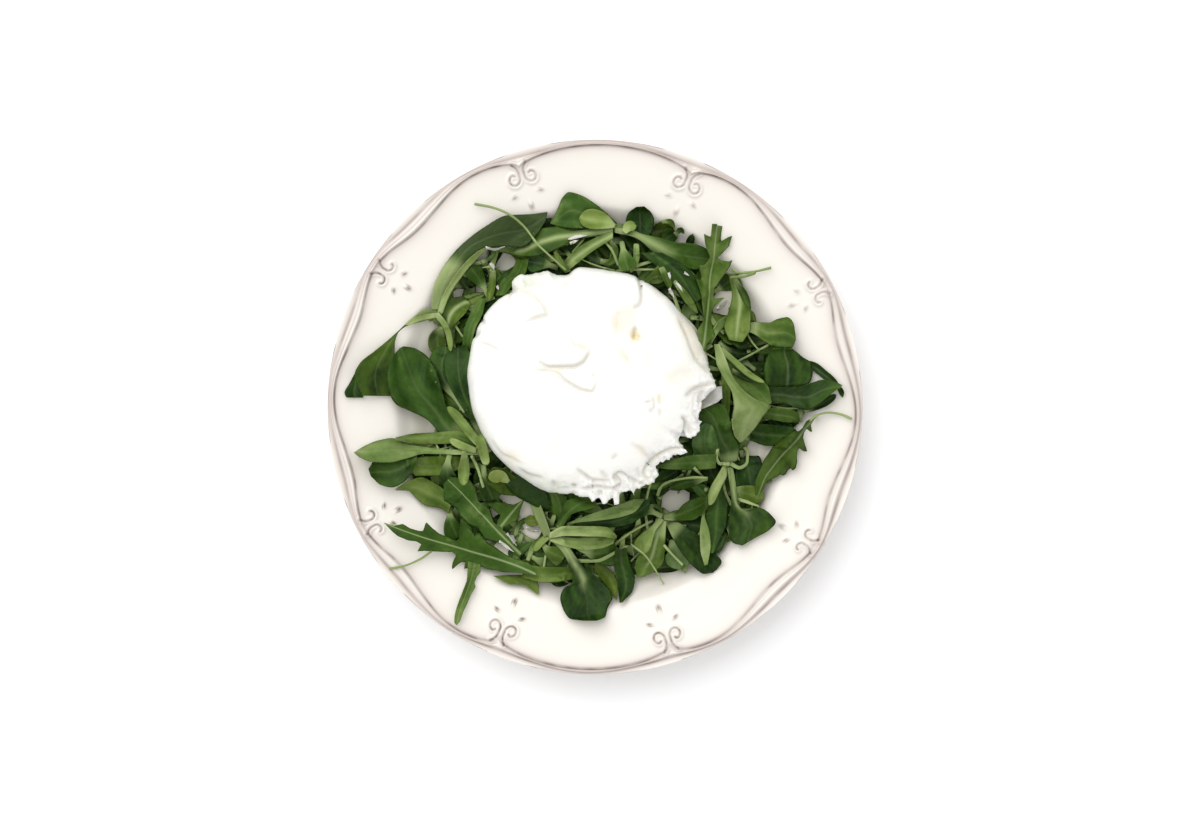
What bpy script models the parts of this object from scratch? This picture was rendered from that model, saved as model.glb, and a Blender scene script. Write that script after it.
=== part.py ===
"""A burrata on a ring of green salad leaves, served on a scalloped ceramic plate.

Three pieces, all resting on each other: the plate, the salad heaped in its well, and the cheese
that sits in the middle. Metres, +Z up, origin at the centre of the plate's foot.
"""

import bpy
import numpy as np

# Gap that resting pieces keep to each other
REST_GAP = 0.0004

# Plate: turned stoneware with a winding bead on its rim
PLATE_RADIUS = 0.120
PLATE_COLUMNS = 144
PATTERN_TURN = -2.5  # degrees from +X to the middle of one of the two long panels
FLOOR_RADIUS = 0.076
FLOOR_HEIGHT = 0.0070
WELL_RADIUS = 0.091
WELL_HEIGHT = 0.0165
RIM_HEIGHT = 0.0225
BEAD_HEIGHT = 0.0014
LEDGE_DROP = 0.0004
FOOT_RADIUS = 0.069
FOOT_WIDTH = 0.004
FOOT_DEPTH = 0.0022

# The upper face without its bead: radius and height, from the middle out
PLATE_FACE = np.array([
    (0.0, FLOOR_HEIGHT),
    (FLOOR_RADIUS, FLOOR_HEIGHT),
    (0.084, 0.0108),
    (WELL_RADIUS, WELL_HEIGHT),
    (0.101, 0.0187),
    (PLATE_RADIUS, RIM_HEIGHT),
])

# Inner and outer edge of the bead over a quarter turn: degrees and radius of each crest and trough.
# The plate repeats it by mirroring, so cusps fall at 30 and 70 degrees either side of the long axis.
BEAD_INNER = (
    (0, 0.1170), (17.5, 0.1124), (30, 0.1164), (42.5, 0.1123), (60, 0.1173), (70, 0.1105), (90, 0.1175),
)
BEAD_OUTER = (
    (0, 0.1194), (17.5, 0.1168), (30, 0.1194), (42.5, 0.1171), (57.5, 0.1194), (72.5, 0.1172), (90, 0.1194),
)
BEAD_PROFILE = ((0.28, 0.85), (0.62, 1.0))  # share of the way across the bead, and share of its height

# The underside, from the rim's edge to the middle
PLATE_UNDERSIDE = (
    (PLATE_RADIUS, RIM_HEIGHT - 0.0012),
    (PLATE_RADIUS - 0.0013, RIM_HEIGHT - 0.0030),
    (0.104, 0.0150),
    (0.092, 0.0105),
    (0.082, 0.0050),
    (FOOT_RADIUS + FOOT_WIDTH / 2 + 0.0012, FOOT_DEPTH),
    (FOOT_RADIUS + FOOT_WIDTH / 2, 0.0),
    (FOOT_RADIUS - FOOT_WIDTH / 2, 0.0),
    (FOOT_RADIUS - FOOT_WIDTH / 2 - 0.0012, FOOT_DEPTH),
)

# Burrata: a flattened bag of stretched curd, its top sheet ending in a torn frill
BURRATA_CENTRE = (-0.0031, 0.0121)
BURRATA_RADIUS = 0.0530
BURRATA_TOP = 0.0500
BURRATA_COLUMNS = 96
FRILL_OUT = 0.0038  # how far the frill stands out of the side
LIP_DROP = 0.0185  # from the crown down to where the smooth side turns down
FRILL_TUCK = 0.0060  # how far the side draws in under the frill
FRILL_TEETH = 17  # teeth of the frill in a full turn
FRILL_WAVE = 0.0011  # how far each tooth rises and dips
LIP_WAVE = 0.0012  # how far each tooth dips at the lip

# The cheese's section: share of the outline's radius, with the drop below the crown, then the height
CROWN = (
    (0.12, 0.0000), (0.24, 0.0002), (0.36, 0.0006), (0.47, 0.0013), (0.57, 0.0022), (0.66, 0.0034),
    (0.75, 0.0051), (0.83, 0.0073), (0.90, 0.0103), (0.955, 0.0143),
)
BELLY = ((0.985, 0.0285), (1.0, 0.0235), (0.965, 0.0160), (0.88, 0.0108), (0.72, FLOOR_HEIGHT + REST_GAP))

# Salad: a ring of leaves heaped between the cheese and the rim
SALAD_COLUMNS = 120
SALAD_RADIUS = 0.0895
SALAD_DEPTH = 0.0245  # from the plate to the top of the heap
SALAD_TIP = 0.0040  # thickness of the leaves at the outer edge
LEAF_GAP = 0.0012  # between the leaves and the cheese

# The heap's top: share of the way out from the cheese, and share of the full depth
SALAD_TOP = ((0.0, 0.84), (0.16, 1.0), (0.36, 1.02), (0.56, 0.88), (0.74, 0.66), (0.88, 0.40))

# The heap's underside, from its edge inwards: a bend of the plate, the least distance in from
# the edge, and how far the leaves hover there
SALAD_UNDERSIDE = (
    (PLATE_RADIUS, 0.0010, 0.0017),
    (WELL_RADIUS, 0.0020, 0.0014),
    (0.084, 0.0030, 0.0006),
    (FLOOR_RADIUS, 0.0040, 0.0003),
)

# Leaves that reach out of the heap: direction in degrees, reach, and half width in degrees
LEAF_TIPS = (
    (3, 0.1100, 6.0), (21, 0.0965, 6.0), (38, 0.0930, 3.0), (54, 0.0985, 5.0), (76, 0.0925, 5.0),
    (96, 0.0970, 7.0), (118, 0.0945, 11.0), (158, 0.0975, 7.0), (172, 0.1105, 8.5), (195, 0.1065, 7.0),
    (212, 0.1050, 5.5), (224, 0.0950, 6.0), (237, 0.1080, 4.0), (266, 0.0955, 8.0), (305, 0.0910, 6.0),
    (325, 0.0955, 7.0), (350, 0.0955, 8.0),
)

PORCELAIN = (0.93, 0.88, 0.82)
CURD = (0.98, 0.97, 0.94)
LEAF_GREEN = (0.07, 0.15, 0.03)


def between_stops(turn, stops):
    """A value at angle turn, easing by a half cosine from each crest or trough to the next."""
    at, value = np.array(stops, float).T
    index = np.clip(np.searchsorted(at, turn, side="right") - 1, 0, len(at) - 2)
    share = (turn - at[index]) / (at[index + 1] - at[index])
    ease = (1 - np.cos(np.pi * share)) / 2
    return value[index] * (1 - ease) + value[index + 1] * ease


def quarter_turn(degrees):
    """The plate's pattern is mirrored about two axes: any direction folded into 0 to 90 degrees."""
    return np.abs((degrees - PATTERN_TURN + 90) % 180 - 90)


def plate_height(radius):
    """Height of the plate's upper face, without its bead."""
    return np.interp(radius, *PLATE_FACE.T)


def polar(radius, degrees, height, centre=(0, 0)):
    """Points at a radius, direction and height, as rows of x, y, z."""
    angle = np.radians(degrees)
    radius, height = np.broadcast_to(radius, angle.shape), np.broadcast_to(height, angle.shape)
    return np.stack([centre[0] + radius * np.cos(angle), centre[1] + radius * np.sin(angle), height], axis=1)


def directions(columns):
    """Evenly spaced directions of one full turn, in degrees."""
    return np.arange(columns) * 360 / columns


def strip(first, second, columns):
    """Quads that join two neighbouring rings of points."""
    here = np.arange(columns)
    after = (here + 1) % columns
    return np.stack([first + here, second + here, second + after, first + after], axis=1).tolist()


def solid(name, points, faces, colour, roughness, collection):
    """A smooth-shaded mesh object with its own material."""
    mesh = bpy.data.meshes.new(name)
    mesh.from_pydata(points.tolist(), [], faces)
    mesh.shade_smooth()
    mesh.set_sharp_from_angle(angle=np.radians(50))
    material = bpy.data.materials.new(name)
    material.use_nodes = True
    shader = material.node_tree.nodes["Principled BSDF"]
    shader.inputs["Base Color"].default_value = (*colour, 1)
    shader.inputs["Roughness"].default_value = roughness
    shader.inputs["Metallic"].default_value = 0
    mesh.materials.append(material)
    obj = bpy.data.objects.new(name, mesh)
    collection.objects.link(obj)
    return obj


def lofted(rings, first_pole, last_pole):
    """Points and faces of a closed body: rings from the upper pole down to the lower one."""
    columns = len(rings[0])
    points = np.concatenate([*rings, [first_pole, last_pole]])
    top, bottom = len(points) - 2, len(points) - 1
    here = np.arange(columns)
    after = (here + 1) % columns
    last = (len(rings) - 1) * columns
    faces = [(top, int(a), int(b)) for a, b in zip(here, after)]
    for row in range(len(rings) - 1):
        faces += strip(row * columns, (row + 1) * columns, columns)
    faces += [(bottom, int(last + b), int(last + a)) for a, b in zip(here, after)]
    return points, faces


def looped(rings):
    """Points and faces of a ring-shaped body: its rings run once round its own section."""
    columns = len(rings[0])
    faces = []
    for row in range(len(rings)):
        faces += strip(row * columns, (row + 1) % len(rings) * columns, columns)
    return np.concatenate(rings), faces


def make_plate(collection):
    """The plate's sections differ at every angle, as the bead winds in and out along the rim."""
    angles = directions(PLATE_COLUMNS) + PATTERN_TURN
    turn = quarter_turn(angles)
    inner, outer = between_stops(turn, BEAD_INNER), between_stops(turn, BEAD_OUTER)
    rings = [polar(radius, angles, height) for radius, height in PLATE_FACE[1:-1]]
    rings.append(polar(inner, angles, plate_height(inner)))
    for share, lift in BEAD_PROFILE:
        radius = inner + (outer - inner) * share
        rings.append(polar(radius, angles, plate_height(radius) + BEAD_HEIGHT * lift))
    rings.append(polar(outer, angles, plate_height(outer) - LEDGE_DROP))
    rings += [polar(radius, angles, height) for radius, height in PLATE_UNDERSIDE]
    points, faces = lofted(rings, (0, 0, FLOOR_HEIGHT), (0, 0, FOOT_DEPTH))
    return solid("plate", points, faces, PORCELAIN, 0.2, collection)


def bump(degrees, middle, half_width):
    """1 at the middle direction, falling smoothly to 0 at half_width either side."""
    away = np.abs((degrees - middle + 180) % 360 - 180) / half_width
    return np.where(away < 1, (1 + np.cos(np.pi * np.minimum(away, 1))) / 2, 0)


def frill_strength(degrees):
    """Where the top sheet ends in a torn frill: along the front right, and a little at the back left."""
    front = np.clip(bump(degrees, -52, 75) * 1.8, 0, 1)
    back = bump(degrees, 122, 28) * 0.6
    return front + back


def frill_teeth(degrees):
    """The frill's teeth: two unlike waves, so that no two teeth are the same."""
    angle = np.radians(degrees)
    return 0.6 * np.sin(FRILL_TEETH * angle + 0.7) + 0.4 * np.sin((FRILL_TEETH * 2 - 8) * angle + 2.0)


def burrata_outline(degrees):
    """Radius of the cheese seen from above, without its frill's teeth."""
    angle = np.radians(degrees)
    return BURRATA_RADIUS + 0.0008 * np.cos(2 * (angle - 2.35)) + 0.0007 * np.cos(3 * angle + 0.6)


def crease(x, y, start, end, sag, width):
    """1 along a bowed crease from start to end, fading to 0 at width to either side of it."""
    start, end = np.array(start), np.array(end)
    along = (end - start) / np.linalg.norm(end - start)
    across = np.array([-along[1], along[0]])
    u = ((x - start[0]) * along[0] + (y - start[1]) * along[1]) / np.linalg.norm(end - start)
    v = (x - start[0]) * across[0] + (y - start[1]) * across[1] - sag * 4 * u * (1 - u)
    within = np.clip(1 - np.abs(2 * u - 1) ** 4, 0, 1)
    return within * np.exp(-((v / width) ** 2))


# Creases of the top sheet, about the cheese's own middle: start, end, bow, and depth
CREASES = (
    ((-0.0215, 0.0072), (0.0030, 0.0125), -0.0036, 0.0018),
    ((-0.0134, 0.0045), (0.0020, -0.0055), -0.0015, 0.0014),
    ((-0.0270, 0.0394), (-0.0233, 0.0269), 0.0055, 0.0018),
    ((0.0224, 0.0430), (0.0210, 0.0197), 0.0, 0.0024),
    ((-0.0470, 0.0165), (-0.0340, 0.0090), 0.0, 0.0014),
    ((0.0330, 0.0010), (0.0500, 0.0055), 0.0, 0.0016),
)
CREASE_WIDTH = 0.0042


def make_burrata(collection):
    """A round body under a top sheet whose edge stands out as a frill and tucks in below."""
    angles = directions(BURRATA_COLUMNS)
    strength, teeth = frill_strength(angles), frill_teeth(angles)
    outline = burrata_outline(angles)
    rings = []
    for share, drop in CROWN:
        ring = polar(outline * share, angles, BURRATA_TOP - drop)
        for start, end, bow, depth in CREASES:
            ring[:, 2] -= depth * crease(ring[:, 0], ring[:, 1], start, end, bow, CREASE_WIDTH)
        ring[:, 2] += FRILL_WAVE * strength * teeth * np.clip((share - 0.6) * 3, 0, 1)
        rings.append(ring)
    lip = outline + strength * FRILL_OUT * teeth
    rings.append(polar(lip, angles, BURRATA_TOP - LIP_DROP - LIP_WAVE * strength * teeth))
    tucked = outline - strength * FRILL_TUCK
    rings += [polar(tucked * share, angles, height) for share, height in BELLY]
    points, faces = lofted(rings, (0, 0, BURRATA_TOP), (0, 0, BELLY[-1][1]))
    cheese = solid("burrata", points, faces, CURD, 0.45, collection)
    cheese.location = (*BURRATA_CENTRE, 0)
    return cheese


def lobe(degrees, middle, half_width):
    """A leaf's round tip: 1 at the middle direction, falling as an ellipse to 0 at half_width either side."""
    away = np.abs((degrees - middle + 180) % 360 - 180) / half_width
    return np.sqrt(np.clip(1 - away**2, 0, 1))


def salad_reach(degrees):
    """Outer radius of the heap: its own uneven edge, and the leaves that reach past it."""
    angle = np.radians(degrees)
    reach = SALAD_RADIUS + 0.0014 * np.sin(5 * angle + 0.4) + 0.0010 * np.sin(11 * angle + 2.2)
    for middle, tip, half_width in LEAF_TIPS:
        reach = np.maximum(reach, SALAD_RADIUS + (tip - SALAD_RADIUS) * lobe(degrees, middle, half_width))
    return reach


def leafiness(degrees, share):
    """Lumps of the heap where leaves lie over each other, as a share of its depth."""
    angle = np.radians(degrees)
    return (
        0.10 * np.sin(9 * angle + 5 * share)
        + 0.09 * np.sin(17 * angle - 7 * share + 1.3)
        + 0.06 * np.sin(29 * angle + 11 * share + 0.5)
    )


def make_salad(collection):
    """A ring round the cheese, heaped unevenly: its underside follows the plate, its tips are thin."""
    angles = directions(SALAD_COLUMNS)
    reach = salad_reach(angles)
    side = burrata_outline(angles) + FRILL_OUT * frill_strength(angles) + LEAF_GAP
    inside = polar(side, angles, FLOOR_HEIGHT + REST_GAP, BURRATA_CENTRE)
    outside = polar(reach, angles, 0)
    rings = []
    for share, depth in SALAD_TOP:
        ring = inside + (outside - inside) * share
        depth = SALAD_DEPTH * depth * (1 + leafiness(angles, share))
        ring[:, 2] = plate_height(np.hypot(ring[:, 0], ring[:, 1])) + depth
        rings.append(ring)
    rings.append(polar(reach, angles, plate_height(reach) + SALAD_TIP))
    for edge, room, hover in SALAD_UNDERSIDE:
        radius = np.minimum(edge, reach - room)
        rings.append(polar(radius, angles, plate_height(radius) + REST_GAP + hover))
    rings.append(inside)
    points, faces = looped(rings)
    return solid("salad", points, faces, LEAF_GREEN, 0.5, collection)


def main():
    for obj in list(bpy.data.objects):
        bpy.data.objects.remove(obj)
    collection = bpy.data.collections.new("burrata_plate")
    bpy.context.scene.collection.children.link(collection)
    make_plate(collection)
    make_salad(collection)
    make_burrata(collection)


main()
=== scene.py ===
"""A burrata on lamb's lettuce and rocket, served on an ivory stoneware plate with a moulded rim.

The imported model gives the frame; every visible piece is then laid over its solid as a surface
worked out with numpy. Metres, +Z up, origin at the middle of the plate's foot.
"""

import bpy
import numpy as np
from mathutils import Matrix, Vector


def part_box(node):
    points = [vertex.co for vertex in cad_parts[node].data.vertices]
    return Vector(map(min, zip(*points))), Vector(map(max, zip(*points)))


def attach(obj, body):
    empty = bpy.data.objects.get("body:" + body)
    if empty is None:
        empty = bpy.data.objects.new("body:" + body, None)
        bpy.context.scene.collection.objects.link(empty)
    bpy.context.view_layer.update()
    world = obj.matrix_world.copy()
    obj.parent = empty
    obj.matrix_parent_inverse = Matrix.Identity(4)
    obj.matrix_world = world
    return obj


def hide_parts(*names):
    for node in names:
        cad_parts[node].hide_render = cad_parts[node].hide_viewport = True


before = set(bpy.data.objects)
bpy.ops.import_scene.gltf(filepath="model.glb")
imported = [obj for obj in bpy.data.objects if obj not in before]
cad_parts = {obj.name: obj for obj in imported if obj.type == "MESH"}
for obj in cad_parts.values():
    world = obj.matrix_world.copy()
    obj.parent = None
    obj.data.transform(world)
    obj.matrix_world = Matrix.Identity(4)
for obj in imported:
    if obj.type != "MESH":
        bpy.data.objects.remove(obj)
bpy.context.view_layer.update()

MM = 0.001


# ---- Plate ------------------------------------------------------------------------------------
# A dinner plate of pale stoneware, pressed in a mould with a winding bead, eight pairs of scrolls
# and petals on its rim, dipped in ivory glaze, and rubbed with umber that stays in the hollows.

plate_low, plate_high = (np.array(corner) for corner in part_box("plate"))
PLATE_RADIUS = (plate_high[0] - plate_low[0]) / 2
PATTERN_TURN = -2.5  # degrees from +X to the middle of one of the two long panels
PLATE_FACE = (
    (0.0, 0.0070), (0.060, 0.0070), (0.0755, 0.0071), (0.084, 0.0108), (0.0905, 0.0163),
    (0.093, 0.0171), (0.101, 0.0187), (PLATE_RADIUS, 0.0225),
)
PLATE_UNDERSIDE = (
    (PLATE_RADIUS - 0.0003, 0.0206), (PLATE_RADIUS - 0.0013, 0.0195), (0.104, 0.0150), (0.092, 0.0105),
    (0.082, 0.0050), (0.0722, 0.0022), (0.0714, 0.0004), (0.071, 0.0), (0.067, 0.0),
    (0.0664, 0.0004), (0.0658, 0.0022), (0.030, 0.0022),
)
RIM_START = 0.0925  # radius at which the well's side ends and the rim begins
BEAD_HEIGHT = 0.0013
BEAD_INNER = (
    (0, 0.1170), (17.5, 0.1124), (30, 0.1166), (42.5, 0.1123), (60, 0.1173), (70, 0.1118), (90, 0.1175),
)
BEAD_OUTER = (
    (0, 0.1192), (17.5, 0.1168), (30, 0.1192), (42.5, 0.1171), (57.5, 0.1192), (72.5, 0.1172), (90, 0.1192),
)
MOTIF_TURNS = (30, 70)  # degrees from the long axis to the two kinds of motif, in each quarter
MOTIF_SPREAD = 4.8  # degrees of finer mesh to each side of a motif
PLATE_COLUMNS = 660
DRESSED_RADIUS, DRESSED_FADE = 0.079, 0.008  # painted shade and green light from the leaves tint the glaze up to here
GLAZE_IVORY = (0.790, 0.754, 0.692)
# Darker, greener glaze under the heap: painted shade, and green light thrown from the leaves
GLAZE_OILED = (0.62, 0.61, 0.45)
# Pinkish grey: the glaze's own blush, also used for painted shade round the bead
GLAZE_BLUSH = (0.50, 0.43, 0.40)
UMBER = (0.115, 0.065, 0.045)

# Each kind of motif, right half, in millimetres: across from its axis, and out from the plate's middle
SCROLLS = (
    ((3.6, 116.9), (2.3, 115.6), (1.5, 113.6), (1.5, 111.8), (2.3, 110.5), (3.5, 110.1), (4.7, 110.5),
     (5.1, 111.3)),
    ((3.2, 114.6), (1.9, 113.0), (1.2, 110.6), (1.2, 108.2), (2.1, 106.2), (3.8, 105.4), (5.4, 106.1),
     (6.1, 107.8), (5.5, 109.4), (4.2, 110.0), (3.3, 109.4)),
)
PETALS = (
    ((4.0, 104.6, 1.2), (0.0, 100.0, 1.5)),
    ((5.7, 100.8, 1.3), (0.0, 95.2, 1.6)),
)


def ease(share):
    """Smooth step: 3 share squared less 2 share cubed, held between 0 and 1."""
    share = np.clip(share, 0, 1)
    return share * share * (3 - 2 * share)


def flowing(x, knots, period=None):
    """Smooth curve through knots (place, value): cubic pieces that join in slope and never overshoot,
    as a knot's slope is the harmonic mean of its two neighbours', or level where they turn."""
    places, values = np.array(sorted(knots), float).T
    if period:
        places = np.concatenate([places[-2:] - period, places, places[:2] + period])
        values = np.concatenate([values[-2:], values, values[:2]])
        x = (x - places[2]) % period + places[2]
    step = np.diff(values) / np.diff(places)
    product = step[:-1] * step[1:]
    middle = np.divide(2 * product, step[:-1] + step[1:], out=np.zeros(len(product)), where=product > 0)
    slopes = np.concatenate([step[:1], middle, step[-1:]])
    left = np.clip(np.searchsorted(places, x, side="right") - 1, 0, len(places) - 2)
    width = places[left + 1] - places[left]
    share = (x - places[left]) / width
    rise = values[left] + (values[left + 1] - values[left]) * ease(share)
    swing = share * (1 - share) * width * ((1 - share) * slopes[left] - share * slopes[left + 1])
    return rise + swing


def cloud(x, y, cell, seed):
    """Random relief from -1 to 1: seeded values on a square lattice of the given cell, eased between."""
    lattice = np.random.default_rng(seed).uniform(-1, 1, (64, 64))
    column, row = np.floor(x / cell).astype(int), np.floor(y / cell).astype(int)
    across, along = ease(x / cell - column), ease(y / cell - row)
    left, right, low, high = column % 64, (column + 1) % 64, row % 64, (row + 1) % 64
    near = lattice[low, left] * (1 - across) + lattice[low, right] * across
    far = lattice[high, left] * (1 - across) + lattice[high, right] * across
    return near * (1 - along) + far * along


def smooth_path(points, steps=6):
    """Points along a curve through the given ones, each stretch cut into equal steps."""
    points = np.array(points, float)
    places = np.arange(len(points))
    fine = np.linspace(0, len(points) - 1, (len(points) - 1) * steps + 1)
    curves = [flowing(fine, list(zip(places, points[:, k]))) for k in range(points.shape[1])]
    return np.stack(curves, axis=-1)


def path_distance(x, y, path):
    """Distance from each point to a path, the side it lies on (+1 left), and its share of the way along."""
    nearest = np.full(x.shape, np.inf)
    side = np.ones(x.shape)
    share = np.zeros(x.shape)
    for k in range(len(path) - 1):
        (ax, ay), (bx, by) = path[k], path[k + 1]
        dx, dy = bx - ax, by - ay
        t = np.clip(((x - ax) * dx + (y - ay) * dy) / (dx * dx + dy * dy + 1e-18), 0, 1)
        away = np.hypot(x - ax - t * dx, y - ay - t * dy)
        closer = away < nearest
        nearest = np.where(closer, away, nearest)
        side = np.where(closer, np.sign(dx * (y - ay) - dy * (x - ax)), side)
        share = np.where(closer, (k + t) / (len(path) - 1), share)
    return nearest, side, share


def ring_faces(rings, columns, looped=False):
    """Faces between closed rings of points, four corners each, turning outwards for rings that go down.
    Looped rings also close from the last back to the first."""
    row, column = np.divmod(np.arange((rings - 1 + looped) * columns), columns)
    ahead, below = (column + 1) % columns, (row + 1) % rings
    row, below = row * columns, below * columns
    return np.stack([row + column, below + column, below + ahead, row + ahead], axis=1)


def fan_faces(ring_start, columns, pole, turned):
    """Faces that close a ring of points to one pole, three corners each."""
    column = np.arange(columns)
    here, ahead = ring_start + column, ring_start + (column + 1) % columns
    pair = (ahead, here) if turned else (here, ahead)
    return np.stack([np.full(columns, pole), *pair], axis=1)


def end_caps(count, columns):
    """Faces that close a piece of so many points at both ends, to the two poles that follow its points."""
    first = fan_faces(0, columns, count, False)
    return np.concatenate([first, fan_faces(count - columns, columns, count + 1, True)])


def new_piece(name, points, quads, triangles, **values):
    """A smooth mesh piece of the fixed frame, from arrays of points and faces, with a number of its own
    at each point for every named value."""
    mesh = bpy.data.meshes.new(name)
    mesh.vertices.add(len(points))
    mesh.vertices.foreach_set("co", np.asarray(points, np.float32).ravel())
    corners = np.concatenate([np.ravel(quads), np.ravel(triangles)]).astype(np.int32)
    starts = np.concatenate([np.arange(len(quads)) * 4, len(quads) * 4 + np.arange(len(triangles)) * 3])
    mesh.loops.add(len(corners))
    mesh.loops.foreach_set("vertex_index", corners)
    mesh.polygons.add(len(starts))
    mesh.polygons.foreach_set("loop_start", starts.astype(np.int32))
    mesh.update(calc_edges=True)
    mesh.shade_smooth()
    for key, numbers in values.items():
        values_at = mesh.attributes.new(key, "FLOAT", "POINT")
        values_at.data.foreach_set("value", np.asarray(numbers, np.float32).ravel())
    piece = bpy.data.objects.new(name, mesh)
    bpy.context.scene.collection.objects.link(piece)
    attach(piece, "root")
    return piece


def add(tree, kind, inputs=(), **settings):
    """One more shader node: its settings, and for each input socket a value or another node's output."""
    made = tree.nodes.new("ShaderNode" + kind)
    for key, value in settings.items():
        setattr(made, key, value)
    for key, value in dict(inputs).items():
        if isinstance(value, bpy.types.NodeSocket):
            tree.links.new(value, made.inputs[key])
        else:
            made.inputs[key].default_value = value
    return made


def reckon(tree, operation, first, second, clamp=False):
    """The sum, product or other figure that the operation makes of two numbers or outputs."""
    return add(tree, "Math", {0: first, 1: second}, operation=operation, use_clamp=clamp).outputs[0]


def tint(tree, share, first, second):
    """A colour between two colours, either of which may be another node's output."""
    first, second = (end if isinstance(end, bpy.types.NodeSocket) else (*end, 1) for end in (first, second))
    return add(tree, "Mix", {0: share, 6: first, 7: second}, data_type="RGBA").outputs[2]


def own_value(tree, name):
    """The number that the piece's mesh carries under this name."""
    return add(tree, "Attribute", attribute_name=name).outputs["Fac"]


def mottle(tree, size, detail=2.0, roughness=0.5):
    """Even random cloud from 0 to 1 in the object's own space, with blotches of the given size."""
    place = add(tree, "TexCoord").outputs["Object"]
    inputs = {"Vector": place, "Scale": 1 / size, "Detail": detail, "Roughness": roughness}
    return add(tree, "TexNoise", inputs).outputs[0]


def new_material(name, **sockets):
    """A material with one Principled shader, whose even values are set on its own sockets."""
    material = bpy.data.materials.new(name)
    material.use_nodes = True
    shader = material.node_tree.nodes["Principled BSDF"]
    for key, value in sockets.items():
        shader.inputs[key.replace("_", " ")].default_value = value
    return material, material.node_tree, shader


def dent(tree, shader, height, depth):
    """Sends a height from 0 to 1 to the shader as fine relief of the given depth."""
    bump = add(tree, "Bump", {"Height": height, "Strength": 1.0, "Distance": depth})
    tree.links.new(bump.outputs[0], shader.inputs["Normal"])


def quarter_turn(degrees):
    """Degrees from the nearer end of the plate's long axis, folded into one quarter."""
    return np.abs((degrees - PATTERN_TURN + 90) % 180 - 90)


def bead_radius(stops, degrees, arch_turn=None):
    """Winding edge of the bead: half-cosine swings between its crests and troughs, a quarter at a time.
    Beside the arch turn the swing is a quarter of an ellipse instead, which meets the motif upright."""
    turns, radii = np.array(stops, float).T
    fold = quarter_turn(degrees)
    left = np.clip(np.searchsorted(turns, fold, side="right") - 1, 0, len(turns) - 2)
    share = (fold - turns[left]) / (turns[left + 1] - turns[left])
    rise = (1 - np.cos(np.pi * share)) / 2
    if arch_turn is not None:
        rise = np.where(turns[left] == arch_turn, np.sqrt(1 - (1 - share) ** 2), rise)
        rise = np.where(turns[left + 1] == arch_turn, 1 - np.sqrt(1 - share**2), rise)
    return radii[left] + (radii[left + 1] - radii[left]) * rise


def turn_gap(turn, middle):
    """Degrees between two directions: their difference, the shorter way round."""
    return np.abs((turn - middle + 180) % 360 - 180)


def even_columns(count, fine_turns, spread, gain):
    """Angles round the plate, set closer by the given gain within a spread of each fine turn."""
    degrees = np.linspace(0, 360, 7201)
    gap = np.min([turn_gap(degrees, turn) for turn in fine_turns], axis=0)
    density = 1 + gain * (gap < spread)
    reach = np.concatenate([[0], np.cumsum((density[1:] + density[:-1]) / 2)])
    return np.interp(np.linspace(0, reach[-1], count, endpoint=False), reach, degrees)


folded_turns = [side for turn in MOTIF_TURNS for side in (turn, 180 - turn)]
motif_turns = [PATTERN_TURN + half * turn for turn in folded_turns for half in (1, -1)]
plate_turns = even_columns(PLATE_COLUMNS, motif_turns, MOTIF_SPREAD, 6)
inner_edge = bead_radius(BEAD_INNER, plate_turns, MOTIF_TURNS[1])
outer_edge = bead_radius(BEAD_OUTER, plate_turns)

# Radii of the upper face, ring by ring: floor and shoulder, the rim up to the bead, the bead, the ledge
floor_radii = np.concatenate([np.linspace(0.012, 0.072, 6), np.linspace(0.075, RIM_START, 20)])
radii = [np.full(PLATE_COLUMNS, radius) for radius in floor_radii]
radii += [RIM_START + (inner_edge - RIM_START) * share for share in np.linspace(0, 1, 66)[1:-2]]
radii += [inner_edge + offset * MM for offset in (-0.35, 0.0, 0.35)]
radii += [inner_edge + (outer_edge - inner_edge) * share for share in np.linspace(0.2, 1, 12)]
radii += [outer_edge + (PLATE_RADIUS - outer_edge) * share for share in (0.35, 0.7, 0.9)]
radii = np.array(radii)
turns = np.broadcast_to(plate_turns, radii.shape)
face_heights = flowing(radii, PLATE_FACE)

bead_share = (radii - inner_edge) / (outer_edge - inner_edge)
bead = ease(bead_share / 0.22) * (1 - ease((bead_share - 0.70) / 0.30))
bead *= 1 - 0.22 * ease((bead_share - 0.30) / 0.16)
bead += 0.22 * np.exp(-((bead_share - 0.62) / 0.12) ** 2)

# Umber stays in the foot of the bead, in patches, and on the outer side only where the bead swings in
patchy = 0.62 + 0.38 * cloud(turns, radii, 2.3, 5)
line_gap = np.abs(radii - inner_edge) / MM
outer_gap = np.abs(radii - outer_edge) / MM
swung_in = ease((0.1190 - outer_edge) / 0.0016)
umber = 0.95 * patchy * np.exp(-((line_gap / 0.42) ** 2))
umber += 0.62 * (0.6 + 0.4 * cloud(turns, radii, 3.1, 6)) * swung_in * np.exp(-((outer_gap / 0.40) ** 2))
# Pinkish grey round the bead: partly the glaze's own blush, partly painted shade in the groove at the bead's
# foot, across the rim as it nears the bead, and in the hollow outside the bead. Beside the scrolls it adds a
# blush too.
blush = 0.42 * np.exp(-((line_gap / 1.8) ** 2))
blush += (radii < inner_edge) * 0.24 * np.exp(-((line_gap / 5.0) ** 2))
blush += (0.75 + 0.2 * patchy) * np.exp(-((outer_gap / 1.7) ** 2))
relief = BEAD_HEIGHT * bead - 0.00022 * np.exp(-((line_gap / 0.5) ** 2))
relief -= 0.0002 * np.exp(-((outer_gap / 0.5) ** 2))

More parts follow.
